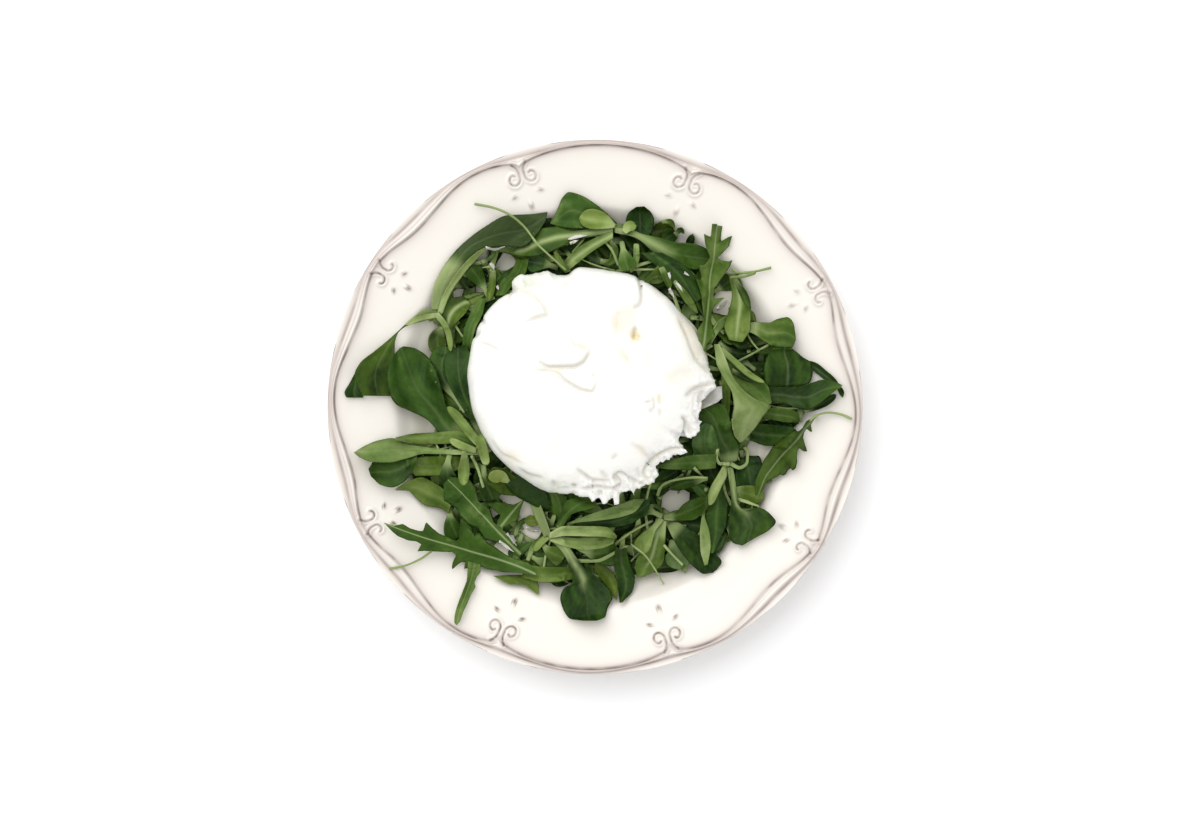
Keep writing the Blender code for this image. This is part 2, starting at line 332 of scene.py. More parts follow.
for kind, turn in enumerate(MOTIF_TURNS):
    fold = quarter_turn(turns)
    near = np.abs(fold - turn) < MOTIF_SPREAD + 1
    across = np.abs(np.radians(fold[near] - turn)) * radii[near] / MM
    out = radii[near] / MM
    gap, _, share = path_distance(across, out, smooth_path(SCROLLS[kind]))
    broken = ease((across - SCROLLS[kind][0][0] + 1.2) / 1.2)
    umber[near] *= np.where(np.abs(bead_share[near]) < 0.5, broken, 1)
    worn = 0.45 + 0.55 * (1 + np.cos(np.radians(turns[near] - 215))) / 2
    flecked = 0.35 + 0.9 * np.abs(cloud(turns[near], radii[near] / MM, 1.7, 11 + kind))
    umber[near] += worn * (flecked + 0.2 * share) * np.exp(-((gap / 0.40) ** 2))
    relief[near] += 0.00055 * np.exp(-(((gap - 1.0) / 0.7) ** 2)) - 0.0003 * np.exp(-((gap / 0.45) ** 2))
    blush[near] += 0.25 * np.exp(-((gap / 1.6) ** 2))
    for petal_across, petal_out, length in PETALS[kind]:
        lean = np.arctan2(petal_across, SCROLLS[kind][4][1] - 4 - petal_out)
        du, dv = across - petal_across, out - petal_out
        along = dv * np.cos(lean) - du * np.sin(lean)
        wide = du * np.cos(lean) + dv * np.sin(lean)
        relief[near] += 0.00045 * np.exp(-((along / (1.3 * length)) ** 2) - (wide / 1.1) ** 2)
        umber[near] += 1.1 * worn * np.exp(-(((along + 0.4 * length) / 1.3) ** 2) - (wide / 0.6) ** 2)
        umber[near] += 0.7 * worn * np.exp(-((along / length) ** 2) - ((wide - 1.0) / 0.35) ** 2)

edge_rings = [(PLATE_RADIUS - 0.00025, 0.02245), (PLATE_RADIUS, 0.0219), (PLATE_RADIUS, 0.0212)]
below = np.array(edge_rings + list(PLATE_UNDERSIDE))
all_radii = np.concatenate([radii, np.repeat(below[:, :1], PLATE_COLUMNS, axis=1)])
all_heights = np.concatenate([face_heights + relief, np.repeat(below[:, 1:], PLATE_COLUMNS, axis=1)])
angle = np.radians(plate_turns)
rings = np.stack([all_radii * np.cos(angle), all_radii * np.sin(angle), all_heights], axis=-1)
count = rings.shape[0] * PLATE_COLUMNS
points = np.concatenate([rings.reshape(-1, 3), [(0, 0, PLATE_FACE[0][1]), (0, 0, below[-1, 1])]])
quads = ring_faces(rings.shape[0], PLATE_COLUMNS)
spare = np.zeros(len(below) * PLATE_COLUMNS + 2)
plate = new_piece(
    "stoneware_plate", points, quads, end_caps(count, PLATE_COLUMNS),
    umber=np.concatenate([np.clip(umber, 0, 1).ravel(), spare]),
    blush=np.concatenate([np.clip(blush, 0, 1).ravel(), spare]),
    dressed=np.concatenate([(1 - ease((radii - DRESSED_RADIUS) / DRESSED_FADE)).ravel(), spare]),
)

glaze, tree, shader = new_material(
    "ivory_glaze", Roughness=0.30, IOR=1.5, Coat_Weight=0.12, Coat_Roughness=0.15,
)
pooled = tint(tree, reckon(tree, "MULTIPLY", mottle(tree, 0.03), 0.10), GLAZE_IVORY, GLAZE_BLUSH)
# Painted shade round the bead, with the glaze's own pink: this tints the ivory towards pinkish grey.
warmed = tint(tree, reckon(tree, "MULTIPLY", own_value(tree, "blush"), 0.85), pooled, GLAZE_BLUSH)
# Painted shade and green light under the heap: the glaze is darker and greener there.
oiled = tint(tree, reckon(tree, "MULTIPLY", own_value(tree, "dressed"), 0.6), warmed, GLAZE_OILED)
stained = tint(tree, reckon(tree, "MULTIPLY", own_value(tree, "umber"), 0.92), oiled, UMBER)
tree.links.new(stained, shader.inputs["Base Color"])
dent(tree, shader, mottle(tree, 0.006, 3.0), 0.00006)
plate.data.materials.append(glaze)
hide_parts("plate")


# ---- Burrata ----------------------------------------------------------------------------------
# A bag of hand-stretched curd filled with shredded curd and cream, about 300 g, still wet with
# whey. Its top sheet was pulled over the side and torn, so the front edge ends in a layered frill.

cheese_low, cheese_high = (np.array(corner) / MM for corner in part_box("burrata"))
CHEESE_MIDDLE = np.array((-3.1, 12.1))  # millimetres, like every figure of this piece
CHEESE_COLUMNS = 520
FRILL_TURN = -50  # degrees from +X to the middle of the torn edge
FRILL_SPREAD = 62
RUFFLE_TURN = 124
CURD_WHITE = (0.852, 0.845, 0.805)
# Yellow of cream, also used for painted warm shade on the upper right side
CURD_CREAM = (0.74, 0.63, 0.38)
CURD_SHADE = (0.49, 0.45, 0.36)
# Grey-green of painted shade on the curd
CURD_DUSK = (0.58, 0.61, 0.52)

# Outline seen from above, anticlockwise from the right: smooth body, notch at the top right, frill below
CHEESE_OUTLINE = (
    (53.4, 8.8), (52.3, 13.0), (51.3, 16.5), (50.4, 21.0), (49.4, 25.4), (48.0, 30.0), (45.6, 34.6),
    (42.0, 39.2), (37.4, 43.8), (32.0, 49.0), (28.4, 52.0), (25.0, 54.3), (20.6, 56.9), (15.0, 58.8),
    (7.0, 60.7), (-1.0, 62.0), (-7.0, 62.5), (-9.7, 61.2), (-12.3, 59.2), (-15.6, 59.0), (-18.4, 59.5),
    (-21.0, 61.0), (-25.3, 60.0), (-29.7, 58.8), (-34.0, 58.6), (-36.6, 55.6), (-37.6, 51.2),
    (-41.5, 48.6), (-45.4, 45.3), (-49.7, 40.2), (-52.6, 34.2), (-54.4, 28.6), (-55.6, 22.6),
    (-56.4, 14.8), (-56.0, 7.4), (-54.6, -0.6), (-51.8, -8.8), (-46.8, -18.2), (-41.0, -25.4),
    (-34.0, -31.4), (-26.4, -36.0), (-18.4, -38.3), (-9.7, -38.8), (-7.0, -39.8), (-3.2, -39.8),
    (-1.0, -42.3), (0.4, -40.7), (2.3, -41.0), (4.0, -42.8), (6.0, -40.8), (8.0, -40.6), (8.7, -43.2),
    (10.4, -43.1), (11.4, -38.6), (13.2, -39.0), (15.4, -37.9), (17.4, -39.6), (18.8, -36.6),
    (21.0, -35.6), (25.2, -33.2), (28.0, -29.7), (27.2, -27.0), (28.4, -25.0), (31.3, -24.0),
    (34.7, -21.5), (38.0, -21.4), (40.3, -20.6), (40.4, -18.0), (38.6, -16.0), (38.0, -13.6),
    (40.2, -14.2), (42.4, -14.4), (44.6, -12.6), (46.2, -10.2), (47.7, -6.8), (46.2, -3.2), (47.9, 0.9),
    (49.6, 4.4), (52.4, 7.0),
)

# Profile from the crown down to the foot: share of the outline's reach, and drop below the crown
SMOOTH_SIDE = (
    (0.0, 0.0), (0.12, 0.05), (0.24, 0.25), (0.36, 0.6), (0.47, 1.3), (0.57, 2.2), (0.66, 3.4),
    (0.75, 5.1), (0.83, 7.3), (0.90, 10.3), (0.955, 14.3), (0.99, 19.0), (1.0, 22.5), (1.0, 26.0),
    (0.985, 29.5), (0.96, 33.0), (0.92, 36.5), (0.87, 39.3), (0.80, 41.4), (0.70, 42.4), (0.62, 42.6),
)
FRILLED_SIDE = (
    (0.0, 0.0), (0.12, 0.05), (0.24, 0.25), (0.36, 0.6), (0.47, 1.3), (0.57, 2.2), (0.66, 3.4),
    (0.75, 5.0), (0.83, 6.9), (0.90, 8.9), (0.955, 10.6), (0.99, 12.0), (1.0, 13.2), (0.985, 14.3),
    (0.945, 15.0), (0.91, 18.0), (0.90, 25.0), (0.885, 33.0), (0.83, 39.0), (0.74, 42.0), (0.62, 42.6),
)
LIP_STATION = 12

# Creases and torn edges: depth and width of the groove, how far its left side overlaps, then its course
CREASES = (
    (1.5, 1.0, 0.9, ((-24.5, 19.8), (-19.5, 17.4), (-10.0, 17.6), (-5.0, 19.6), (-2.2, 23.8))),
    (0.6, 0.9, 0.5, ((-2.0, 25.0), (-8.0, 26.8), (-11.2, 30.5))),
    (0.9, 1.0, 0.7, ((-26.0, 16.0), (-18.0, 15.4), (-12.0, 10.8), (-5.0, 7.2), (-1.2, 6.6), (1.0, 10.5))),
    (0.5, 0.9, 0.0, ((0.6, 12.6), (-1.2, 14.2))),
    (0.9, 0.9, 0.3, ((-51.0, 28.5), (-46.0, 26.8), (-42.0, 24.2))),
    (0.5, 1.1, 0.0, ((-40.5, 21.4), (-37.5, 21.8))),
    (1.3, 1.1, -1.1, (
        (-38.0, 51.5), (-31.0, 51.2), (-26.0, 48.5), (-22.5, 44.5), (-21.3, 41.0), (-26.0, 39.2),
        (-31.0, 37.0))),
    (0.4, 0.8, 0.0, ((-29.5, 49.5), (-27.0, 47.2), (-24.0, 46.5))),
    (0.7, 0.8, 0.0, ((-14.5, 53.0), (-11.3, 56.6))),
    (0.7, 0.8, 0.0, ((-39.5, 46.0), (-37.6, 51.0))),
    (0.8, 0.8, 0.0, ((-51.8, 40.5), (-48.8, 36.8))),
    (0.8, 0.9, 0.0, ((-54.0, 31.0), (-51.0, 33.5))),
    (1.4, 0.8, -0.8, ((19.1, 58.5), (20.4, 53.5), (20.8, 49.0), (20.0, 45.6), (17.5, 43.6))),
    (0.35, 2.6, 0.0, ((20.0, 46.0), (17.0, 41.0), (17.5, 34.0), (18.0, 30.0))),
    (0.9, 1.1, -0.8, ((38.5, 38.5), (40.8, 33.0), (43.2, 26.0), (46.5, 20.0), (50.5, 16.0))),
    (0.7, 2.4, 0.0, ((12.0, 43.0), (9.8, 38.0), (10.0, 31.0))),
    (2.2, 0.75, 0.0, ((18.0, 34.8), (17.6, 32.0), (17.2, 29.8))),
    (1.0, 0.8, 0.0, ((19.6, 31.5), (18.6, 29.6))),
    (0.5, 1.2, 0.0, ((11.0, 24.5), (14.2, 21.0), (15.6, 17.5), (14.4, 14.5))),
    (0.4, 1.6, 0.0, ((21.5, 27.0), (23.0, 21.0), (26.0, 17.0))),
    (0.35, 2.2, 0.0, ((31.0, 12.0), (37.0, 14.5), (43.0, 15.2))),
    (1.4, 1.0, 0.6, ((40.5, 4.8), (44.0, 7.4), (48.0, 9.4), (52.0, 10.4))),
    (0.9, 1.2, 0.0, ((48.6, 8.5), (47.2, 4.5), (48.8, 1.0))),
    (0.6, 0.7, 0.0, ((22.3, 1.6), (24.6, 2.4))),
    (0.6, 0.6, 0.0, ((25.4, 4.2), (26.2, 0.6), (25.8, -1.8))),
    (0.5, 0.7, 0.0, ((28.2, 5.8), (28.8, 0.8))),
    (0.5, 0.7, 0.0, ((28.4, -1.0), (28.8, -4.2))),
    (0.5, 0.7, 0.0, ((24.4, -0.8), (25.0, -3.2))),
    (2.5, 0.7, 0.0, ((38.8, -4.6), (40.6, -7.4), (40.2, -10.6), (38.4, -14.0))),
    (1.2, 0.7, 0.0, ((42.0, -7.8), (42.8, -12.4))),
    (0.7, 0.8, 0.0, ((45.0, -3.6), (46.4, -8.0))),
    (1.6, 0.8, 0.7, (
        (23.8, -33.2), (21.6, -29.4), (22.6, -26.6), (25.2, -24.0), (28.6, -21.2), (32.0, -19.6),
        (36.0, -18.8), (39.8, -17.4))),
    (0.7, 0.8, 0.0, ((18.8, -27.0), (19.8, -31.4))),
    (1.4, 0.8, 0.6, (
        (5.6, -36.8), (9.2, -35.8), (11.4, -33.6), (9.0, -31.2), (11.0, -29.2), (14.6, -30.8), (18.0, -33.0),
        (22.6, -34.8))),
    (0.7, 0.8, 0.0, ((2.6, -28.4), (5.6, -31.8))),
    (1.4, 0.8, 0.6, ((-7.4, -27.8), (-4.0, -30.6), (-1.0, -32.6), (5.8, -33.0))),
    (1.2, 0.9, 0.8, ((-5.4, -36.4), (0.0, -35.6), (6.0, -35.8))),
    (0.8, 0.8, 0.0, ((2.2, -37.2), (1.8, -39.8))),
    (0.6, 0.8, 0.0, ((7.8, -23.2), (9.8, -20.8))),
    (0.6, 1.0, 0.3, ((16.2, -16.4), (20.2, -18.4), (22.6, -21.2), (24.8, -22.0))),
    (1.6, 0.6, 0.0, ((-9.9, -34.6), (-8.8, -36.0))),
    (0.8, 0.7, 0.0, ((-18.5, -32.8), (-18.0, -36.0))),
    (0.4, 0.9, 0.3, ((-46.0, -15.0), (-41.0, -21.4), (-37.0, -23.2), (-32.0, -25.4))),
    (0.9, 1.0, 0.5, ((-33.5, -28.2), (-30.0, -30.6), (-24.0, -31.6))),
    (1.0, 1.6, 0.0, ((-36.8, 54.6), (-33.0, 53.4), (-29.5, 55.2), (-26.5, 57.2))),
    (0.9, 1.2, 0.0, ((-33.5, 57.6), (-30.5, 55.4), (-31.5, 52.6))),
    (0.8, 0.9, 0.0, ((-28.0, 56.4), (-25.0, 54.8), (-22.0, 56.0))),
    (1.0, 3.6, 0.0, ((38.0, 42.0), (43.0, 35.5), (46.5, 28.0), (49.0, 19.5))),
)

# Where cream has seeped out: place, reach and strength. The two on the upper right side, at (42.5, 34.5) and
# (47.5, 25.5), are painted warm shade instead, on the side below the overhanging sheet.
CREAM_SPOTS = (
    (17.8, 31.0, 2.6, 1.0), (11.0, 36.0, 3.4, 0.35), (14.0, 41.5, 4.0, 0.25), (12.5, 22.5, 2.6, 0.30),
    (34.0, 12.5, 3.6, 0.16), (28.4, 3.4, 1.8, 0.32), (40.0, 14.5, 4.0, 0.12), (-37.0, -22.6, 3.4, 0.30),
    (42.5, 34.5, 5.0, 0.30), (47.5, 25.5, 4.5, 0.20), (-6.0, 26.0, 2.6, 0.25), (-16.0, 16.0, 2.6, 0.20),
    (-15.0, -15.0, 6.0, 0.08), (20.0, -18.8, 2.0, 0.25), (24.5, 49.5, 3.4, 0.14),
)

# Where the curd is painted a grey-green shade, on its lower left side, the lump at its upper left and folds
# of the frill: place, reach and strength
DUSKY_SPOTS = (
    (-11.5, -35.8, 3.4, 0.50), (-17.5, -35.6, 3.6, 0.55), (-24.0, -33.6, 3.8, 0.50),
    (-31.0, -30.6, 3.2, 0.30), (-33.8, 54.6, 3.8, 0.60), (-28.5, 56.4, 3.6, 0.60), (-23.2, 57.6, 3.0, 0.45),
    (-31.0, 50.6, 3.0, 0.30), (23.5, -26.6, 3.2, 0.35), (26.6, -30.2, 2.6, 0.30), (20.6, 51.0, 2.6, 0.20),
)


def polar_about(x, y, middle):
    """Degrees and reach of points about a middle."""
    return np.degrees(np.arctan2(y - middle[1], x - middle[0])), np.hypot(x - middle[0], y - middle[1])


def bump_about(turn, middle, spread):
    """Cosine bump round a direction, falling to nothing at the spread."""
    gap = turn_gap(turn, middle)
    return np.where(gap < spread, (1 + np.cos(np.pi * np.clip(gap / spread, 0, 1))) / 2, 0)


outline_turns, outline_reach = polar_about(*np.array(CHEESE_OUTLINE).T, CHEESE_MIDDLE)
cheese_turns = even_columns(CHEESE_COLUMNS, [FRILL_TURN, RUFFLE_TURN], FRILL_SPREAD, 1.0)
reach = flowing(cheese_turns, list(zip(outline_turns % 360, outline_reach)), period=360)
frill = np.clip(1.8 * bump_about(cheese_turns, FRILL_TURN, 80), 0, 1)
frill += 0.5 * bump_about(cheese_turns, RUFFLE_TURN, 26)

# Rings of the surface: even steps across the top, then down the side station by station
station = np.arange(len(SMOOTH_SIDE))
smooth_side, frilled_side = np.array(SMOOTH_SIDE), np.array(FRILLED_SIDE)
top_places = np.interp(np.linspace(0.008, 0.955, 140), smooth_side[:11, 0], station[:11])
side_places = np.concatenate([np.linspace(10.08, 14, 26), np.linspace(14.3, 20, 18)])
ring_places = np.concatenate([top_places, side_places])
plain = np.stack([flowing(ring_places, list(zip(station, smooth_side[:, k]))) for k in (0, 1)], axis=-1)
torn = np.stack([flowing(ring_places, list(zip(station, frilled_side[:, k]))) for k in (0, 1)], axis=-1)
profile = plain[:, None] + (torn - plain)[:, None] * frill[None, :, None]
calm_knots = [(turn, reach[turn_gap(cheese_turns, turn) < 14].mean()) for turn in range(0, 360, 12)]
calm_reach = flowing(cheese_turns, calm_knots, period=360)
reach = calm_reach + (reach - calm_reach) * ease((profile[..., 0] - 0.70) / 0.28)
turn = np.radians(cheese_turns)
height_scale = (cheese_high[2] - cheese_low[2] - 0.6) / smooth_side[-1, 1]
surface = np.stack([
    CHEESE_MIDDLE[0] + reach * profile[..., 0] * np.cos(turn),
    CHEESE_MIDDLE[1] + reach * profile[..., 0] * np.sin(turn),
    cheese_high[2] - 0.5 - profile[..., 1] * height_scale,
], axis=-1)


def ring_normals(rings):
    """Outward unit normals of closed rings that run anticlockwise and go down."""
    around = np.roll(rings, -1, axis=1) - np.roll(rings, 1, axis=1)
    down = np.gradient(rings, axis=0)
    normal = np.cross(down, around)
    return normal / (np.linalg.norm(normal, axis=-1, keepdims=True) + 1e-12)


x, y = surface[..., 0], surface[..., 1]
on_top = 1 - ease((ring_places - LIP_STATION - 0.2) / 1.2)[:, None]
share = profile[..., 0]
near_lip = ease((share - 0.78) / 0.20) * frill
swell = 0.55 * cloud(x, y, 17.0, 21) + 0.22 * cloud(x, y, 7.5, 22) + 0.07 * cloud(x, y, 3.2, 23)
wandering = cheese_turns + 2.5 * cloud(cheese_turns + 0 * share, share * 8, 2.0, 24)
pleats = 0.75 * cloud(wandering, share * 9, 3.4, 25) + 0.45 * cloud(wandering, share * 14, 1.7, 26)
ridges = 1.1 * (0.35 - np.abs(cloud(x, y, 2.6, 27))) + 0.7 * (0.35 - np.abs(cloud(x, y, 1.2, 28)))
lumps = swell + near_lip * (pleats + ridges)
seeped = np.zeros(x.shape)
shaded = np.zeros(x.shape)
dusky = np.zeros(x.shape)
for depth, width, overlap, course in CREASES:
    gap, side, along = path_distance(x, y, smooth_path(course, 5))
    taper = np.sqrt(np.clip(np.sin(np.pi * np.clip(along, 0.001, 0.999)), 0, 1))
    taper = np.where((along <= 0) | (along >= 1), 0, taper)
    groove = np.exp(-((gap / (1.15 * width)) ** 2)) * (0.45 + 0.55 * taper)
    groove += 0.35 * taper * np.exp(-((gap / (3.0 * width)) ** 2))
    shoulder = taper * np.exp(-gap / (3.2 * width)) * ease(gap / width)
    lumps += on_top * (-0.8 * depth * groove + overlap * np.where(side > 0, 1, -0.5) * shoulder)
    # Painted shade: each groove also darkens the curd's colour along it, by its depth up to 1 mm.
    shaded += on_top * min(depth, 1.0) * groove
for place_x, place_y, spot, strength in CREAM_SPOTS:
    seeped += strength * np.exp(-(((x - place_x) ** 2 + (y - place_y) ** 2) / spot**2))
for place_x, place_y, spot, strength in DUSKY_SPOTS:
    dusky += strength * np.exp(-(((x - place_x) ** 2 + (y - place_y) ** 2) / spot**2))
dusky *= 1 + 0.5 * cloud(x, y, 2.2, 29)
normals = ring_normals(surface)
surface = surface + normals * lumps[..., None]
surface[..., 2] = np.minimum(surface[..., 2], cheese_high[2])
count = surface.shape[0] * CHEESE_COLUMNS
crown = (*CHEESE_MIDDLE, surface[0, :, 2].mean())
foot = (*CHEESE_MIDDLE, surface[-1, :, 2].mean())
points = np.concatenate([surface.reshape(-1, 3), [crown, foot]]) * MM
cheese = new_piece(
    "burrata_cheese", points, ring_faces(surface.shape[0], CHEESE_COLUMNS), end_caps(count, CHEESE_COLUMNS),
    cream=np.concatenate([np.clip(seeped, 0, 1).ravel(), (0, 0)]),
    shade=np.concatenate([np.clip(shaded, 0, 1).ravel(), (0, 0)]),
    dusk=np.concatenate([np.clip(dusky, 0, 1).ravel(), (0, 0)]),
)

curd, tree, shader = new_material(
    "wet_curd", Roughness=0.34, IOR=1.38, Coat_Weight=0.35, Coat_Roughness=0.12,
    Subsurface_Weight=0.35, Subsurface_Radius=(1.0, 0.8, 0.55), Subsurface_Scale=0.004,
)
# Painted shade in the creases, and the grey of the flap and the shreds, from the shade mark.
drained = tint(tree, reckon(tree, "MULTIPLY", own_value(tree, "shade"), 0.36), CURD_WHITE, CURD_SHADE)
# Painted grey-green shade on the lower and upper left sides and in folds of the frill.
dusked = tint(tree, own_value(tree, "dusk"), drained, CURD_DUSK)
# Cream stains, and painted warm shade on the upper right side.
creamy = tint(tree, own_value(tree, "cream"), dusked, CURD_CREAM)
tree.links.new(creamy, shader.inputs["Base Color"])
grain = reckon(tree, "ADD", mottle(tree, 0.0016, 3.0, 0.6), mottle(tree, 0.005, 2.0))
dent(tree, shader, grain, 0.00022)
cheese.data.materials.append(curd)
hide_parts("burrata")


# ---- Salad leaves -----------------------------------------------------------------------------
# Lamb's lettuce in torn rosettes and single leaves, with a few leaves of rocket and loose stalks,
# dropped in a ring round the cheese. Each leaf lies on the ones below it, and on the plate.

HEAP_CELL = 2.0  # millimetres, like every figure of the salad
HEAP_HALF = 120  # from the middle to the edge of the square that the heap's heights cover
PROP_HEIGHT = 9.0  # leaves lean against the cheese, on a low bank of others
HEAP_DEPTH = 24.5
HEAP_EDGE = (
    (0, 95), (20, 88), (27, 82), (38, 80), (54, 78), (76, 84), (96, 86), (118, 88), (130, 90), (144, 84),
    (155, 84), (165, 82), (175, 86), (180, 76), (186, 74), (190, 80), (198, 92), (205, 86), (212, 78),
    (235, 78), (250, 80), (262, 82), (275, 78), (283, 80), (295, 82), (305, 86), (315, 84), (326, 88),
    (333, 84), (345, 86), (352, 90),
)
WINDOWS = (  # gaps through which the plate shows: place and reach
    (-80, 31, 7), (-74, 31, 5), (-40, 65, 2.5), (-52, 54, 1.5), (60, 50, 5), (57, 46, 3), (98.5, 14, 1.5),
    (73, -20, 4), (78, -21, 3), (35, -42, 3.6), (41, -42, 1.5), (-38, -41.7, 3.4), (-30.5, -45.5, 3.8),
    (-28.5, -56, 3), (-40, -61, 2.5), (-45.5, -47, 1.5), (6, -72, 2.5), (-78, -7, 6), (-62, 51.5, 1.5),
    (-51.5, 69.5, 2), (-32, -38.5, 1.8),
)
FILL_LEAVES, FILL_BLADES, FILL_STALKS = 330, 90, 48
FILL_TONES = (0.0, 0.0, 0.05, 0.1, 0.16, 0.2, 0.3, 0.45)
BLADE_TONES = (0.1, 0.2, 0.3, 0.45, 0.6)
STALK_TONES = (0.25, 0.35, 0.5, 0.65)
SCATTER_TRIES = 6000
LEAF_HALF_THICKNESS = 0.15
STALK_HALF_THICKNESS = 0.55  # more than the leaf's, where its stalk runs into it
EDGE_RUFFLE = 0.4
RUFFLE_LENGTH = 11

# Kinds of leaf: share of the length that is stalk, stalk width, how the outline swells, falls and
# closes at the tip, stations along and columns across
LEAF_KINDS = {
    "spoon": (0.24, 2.2, 0.80, 5.0, 0.5, 40, 13),
    "oval": (0.04, 2.2, 0.55, 2.8, 0.6, 40, 13),
    "lance": (0.06, 1.8, 0.75, 1.9, 0.9, 40, 11),
    "strap": (0.0, 2.0, 0.22, 7.0, 0.6, 40, 9),
    "under": (0.15, 2.0, 0.70, 4.0, 0.5, 20, 7),
    "stalk": (1.0, 1.5, 1.0, 2.0, 1.0, 36, 9),
    "shred": (0.0, 0.2, 0.7, 1.3, 1.2, 20, 9),
}
EDGED_KINDS = {"traced": (56, 17), "lobed": (110, 13)}  # leaves given by their two edges: the same grids


def heap_height(heap, x, y):
    """Height of the heap under each point, from the four nearest cells weighed by nearness."""
    column, row = (x + HEAP_HALF) / HEAP_CELL, (y + HEAP_HALF) / HEAP_CELL
    left = np.clip(np.floor(column).astype(int), 0, heap.shape[1] - 2)
    below = np.clip(np.floor(row).astype(int), 0, heap.shape[0] - 2)
    across, up = np.clip(column - left, 0, 1), np.clip(row - below, 0, 1)
    near = heap[below, left] * (1 - across) + heap[below, left + 1] * across
    far = heap[below + 1, left] * (1 - across) + heap[below + 1, left + 1] * across
    return near * (1 - up) + far * up


def cell_of(x, y):
    """Row and column of the heap's cell nearest to each point: its place in cells, to the whole number."""
    row, column = np.rint((y + HEAP_HALF) / HEAP_CELL), np.rint((x + HEAP_HALF) / HEAP_CELL)
    return row.astype(int), column.astype(int)


def reach_along(line):
    """Length of a line of points from its start to each of them: the sum of the steps up to it."""
    return np.concatenate([[0], np.cumsum(np.hypot(*np.diff(line, axis=0).T))])


def points_along(line, shares):
    """Points at these shares of a line's length, straight between its own points."""
    reach = reach_along(line)
    return np.stack([np.interp(shares * reach[-1], reach, line[:, k]) for k in (0, 1)], axis=-1)


def blade_share(v, start):
    """Share of the way along the blade, which begins at the start's share of the whole leaf."""
    return np.clip((v - start) / (1.001 - start), 0, 1)


def traced_plan(edges, base, stations, columns):
    """A leaf seen from above, ruled straight across between its left and its right edge: the mean of
    the two, plus the place across times half their difference."""
    v, u = np.linspace(0, 1, stations), np.linspace(-1, 1, columns)
    left, right = (points_along(smooth_path(edge, 8), v) for edge in edges)
    centre, arm = (left + right) / 2, (left - right) / 2
    half = np.maximum(np.hypot(*arm.T), 0.05)
    x, y = (centre[:, None, k] + u[None, :] * arm[:, None, k] for k in (0, 1))
    return u, v, blade_share(v, base), half / half.max(), u * half[:, None], reach_along(centre)[-1], x, y


def lobed_plan(edges, base, stations, columns):
    """A toothed leaf seen from above: rows that run from the midrib out to both edges. A row leans towards
    the tip by the slant times its length, so that lobes which point forward keep one length on each row."""
    left, midrib, right, slant = edges
    line = smooth_path(midrib, 12)
    v, u = np.linspace(0, 1, stations), np.linspace(-1, 1, columns)
    centre, length = points_along(line, v), reach_along(line)[-1]
    heading = np.gradient(centre, axis=0)
    heading /= np.linalg.norm(heading, axis=1, keepdims=True)
    halves = []
    for edge in (left, right):
        offset, _, share = path_distance(*np.array(edge, float).T, centre)
        halves.append(np.interp(v, np.maximum.accumulate(share - slant * offset / length), offset))
    across = u * np.where(u > 0, halves[0][:, None], halves[1][:, None])
    x = centre[:, :1] - heading[:, 1:] * across + slant * heading[:, :1] * np.abs(across)
    y = centre[:, 1:] + heading[:, :1] * across + slant * heading[:, 1:] * np.abs(across)
    swell = (halves[0] + halves[1]) / (halves[0] + halves[1]).max()
    return u, v, blade_share(v, base), swell, across, length, x, y


def leaf_plan(kind, width, course, base=0.0):
    """A leaf seen from above: places across (u) and along (v) of its blade, half widths, and its points.
    The half width is the share along the blade to one power, times one less that share to another."""
    if kind in EDGED_KINDS:
        plan = traced_plan if kind == "traced" else lobed_plan
        return plan(course, base, *EDGED_KINDS[kind])
    stem_share, stem_width, rise, fall, tip, stations, columns = LEAF_KINDS[kind]
    line = smooth_path(course, 12)
    even = np.linspace(0, 1, stations)
    v = even if kind == "stalk" else 0.45 * even + 0.55 * np.sin(np.pi / 2 * even)
    centre = points_along(line, v)
    heading = np.gradient(centre, axis=0)
    heading /= np.linalg.norm(heading, axis=1, keepdims=True)
    blade = blade_share(v, stem_share)
    fine = np.linspace(0, 1, 200)
    most = (fine**rise * (1 - fine**fall) ** tip).max()
    swell = blade**rise * (1 - blade**fall) ** tip / most
    half = np.hypot(stem_width / 2 * np.sqrt(1 - blade), width / 2 * swell)
    if kind == "stalk":
        half = width / 2 * (1 - 0.4 * v)
    u = np.linspace(-1, 1, columns)
    across = u * half[:, None]
    x = centre[:, :1] - heading[:, 1:] * across
    y = centre[:, 1:] + heading[:, :1] * across
    return u, v, blade, swell, across, reach_along(line)[-1], x, y


def settle(heap, x, y, u, v):
    """Height of a limp sheet on the heap: the smoothest sheet, cubic along the leaf and straight across,
    that fits the heap under it, lifted half way over the highest lump and bent over the rest."""
    under = heap_height(heap, x, y)
    along, across = np.broadcast_arrays(v[:, None], u[None, :])
    terms = np.stack([along**0, along, along**2, along**3, across, across * along], axis=-1).reshape(-1, 6)
    sheet = (terms @ np.linalg.lstsq(terms, under.ravel(), rcond=None)[0]).reshape(x.shape)
    sheet += 0.4 * (under - sheet).max()
    lump = np.pad(np.clip(under - sheet, 0, None), 1, mode="edge")
    beside = lump[:-2, 1:-1] + lump[2:, 1:-1] + lump[1:-1, :-2] + lump[1:-1, 2:]
    spread = (beside + 4 * lump[1:-1, 1:-1]) / 8
    return sheet + np.maximum(spread, lump[1:-1, 1:-1])


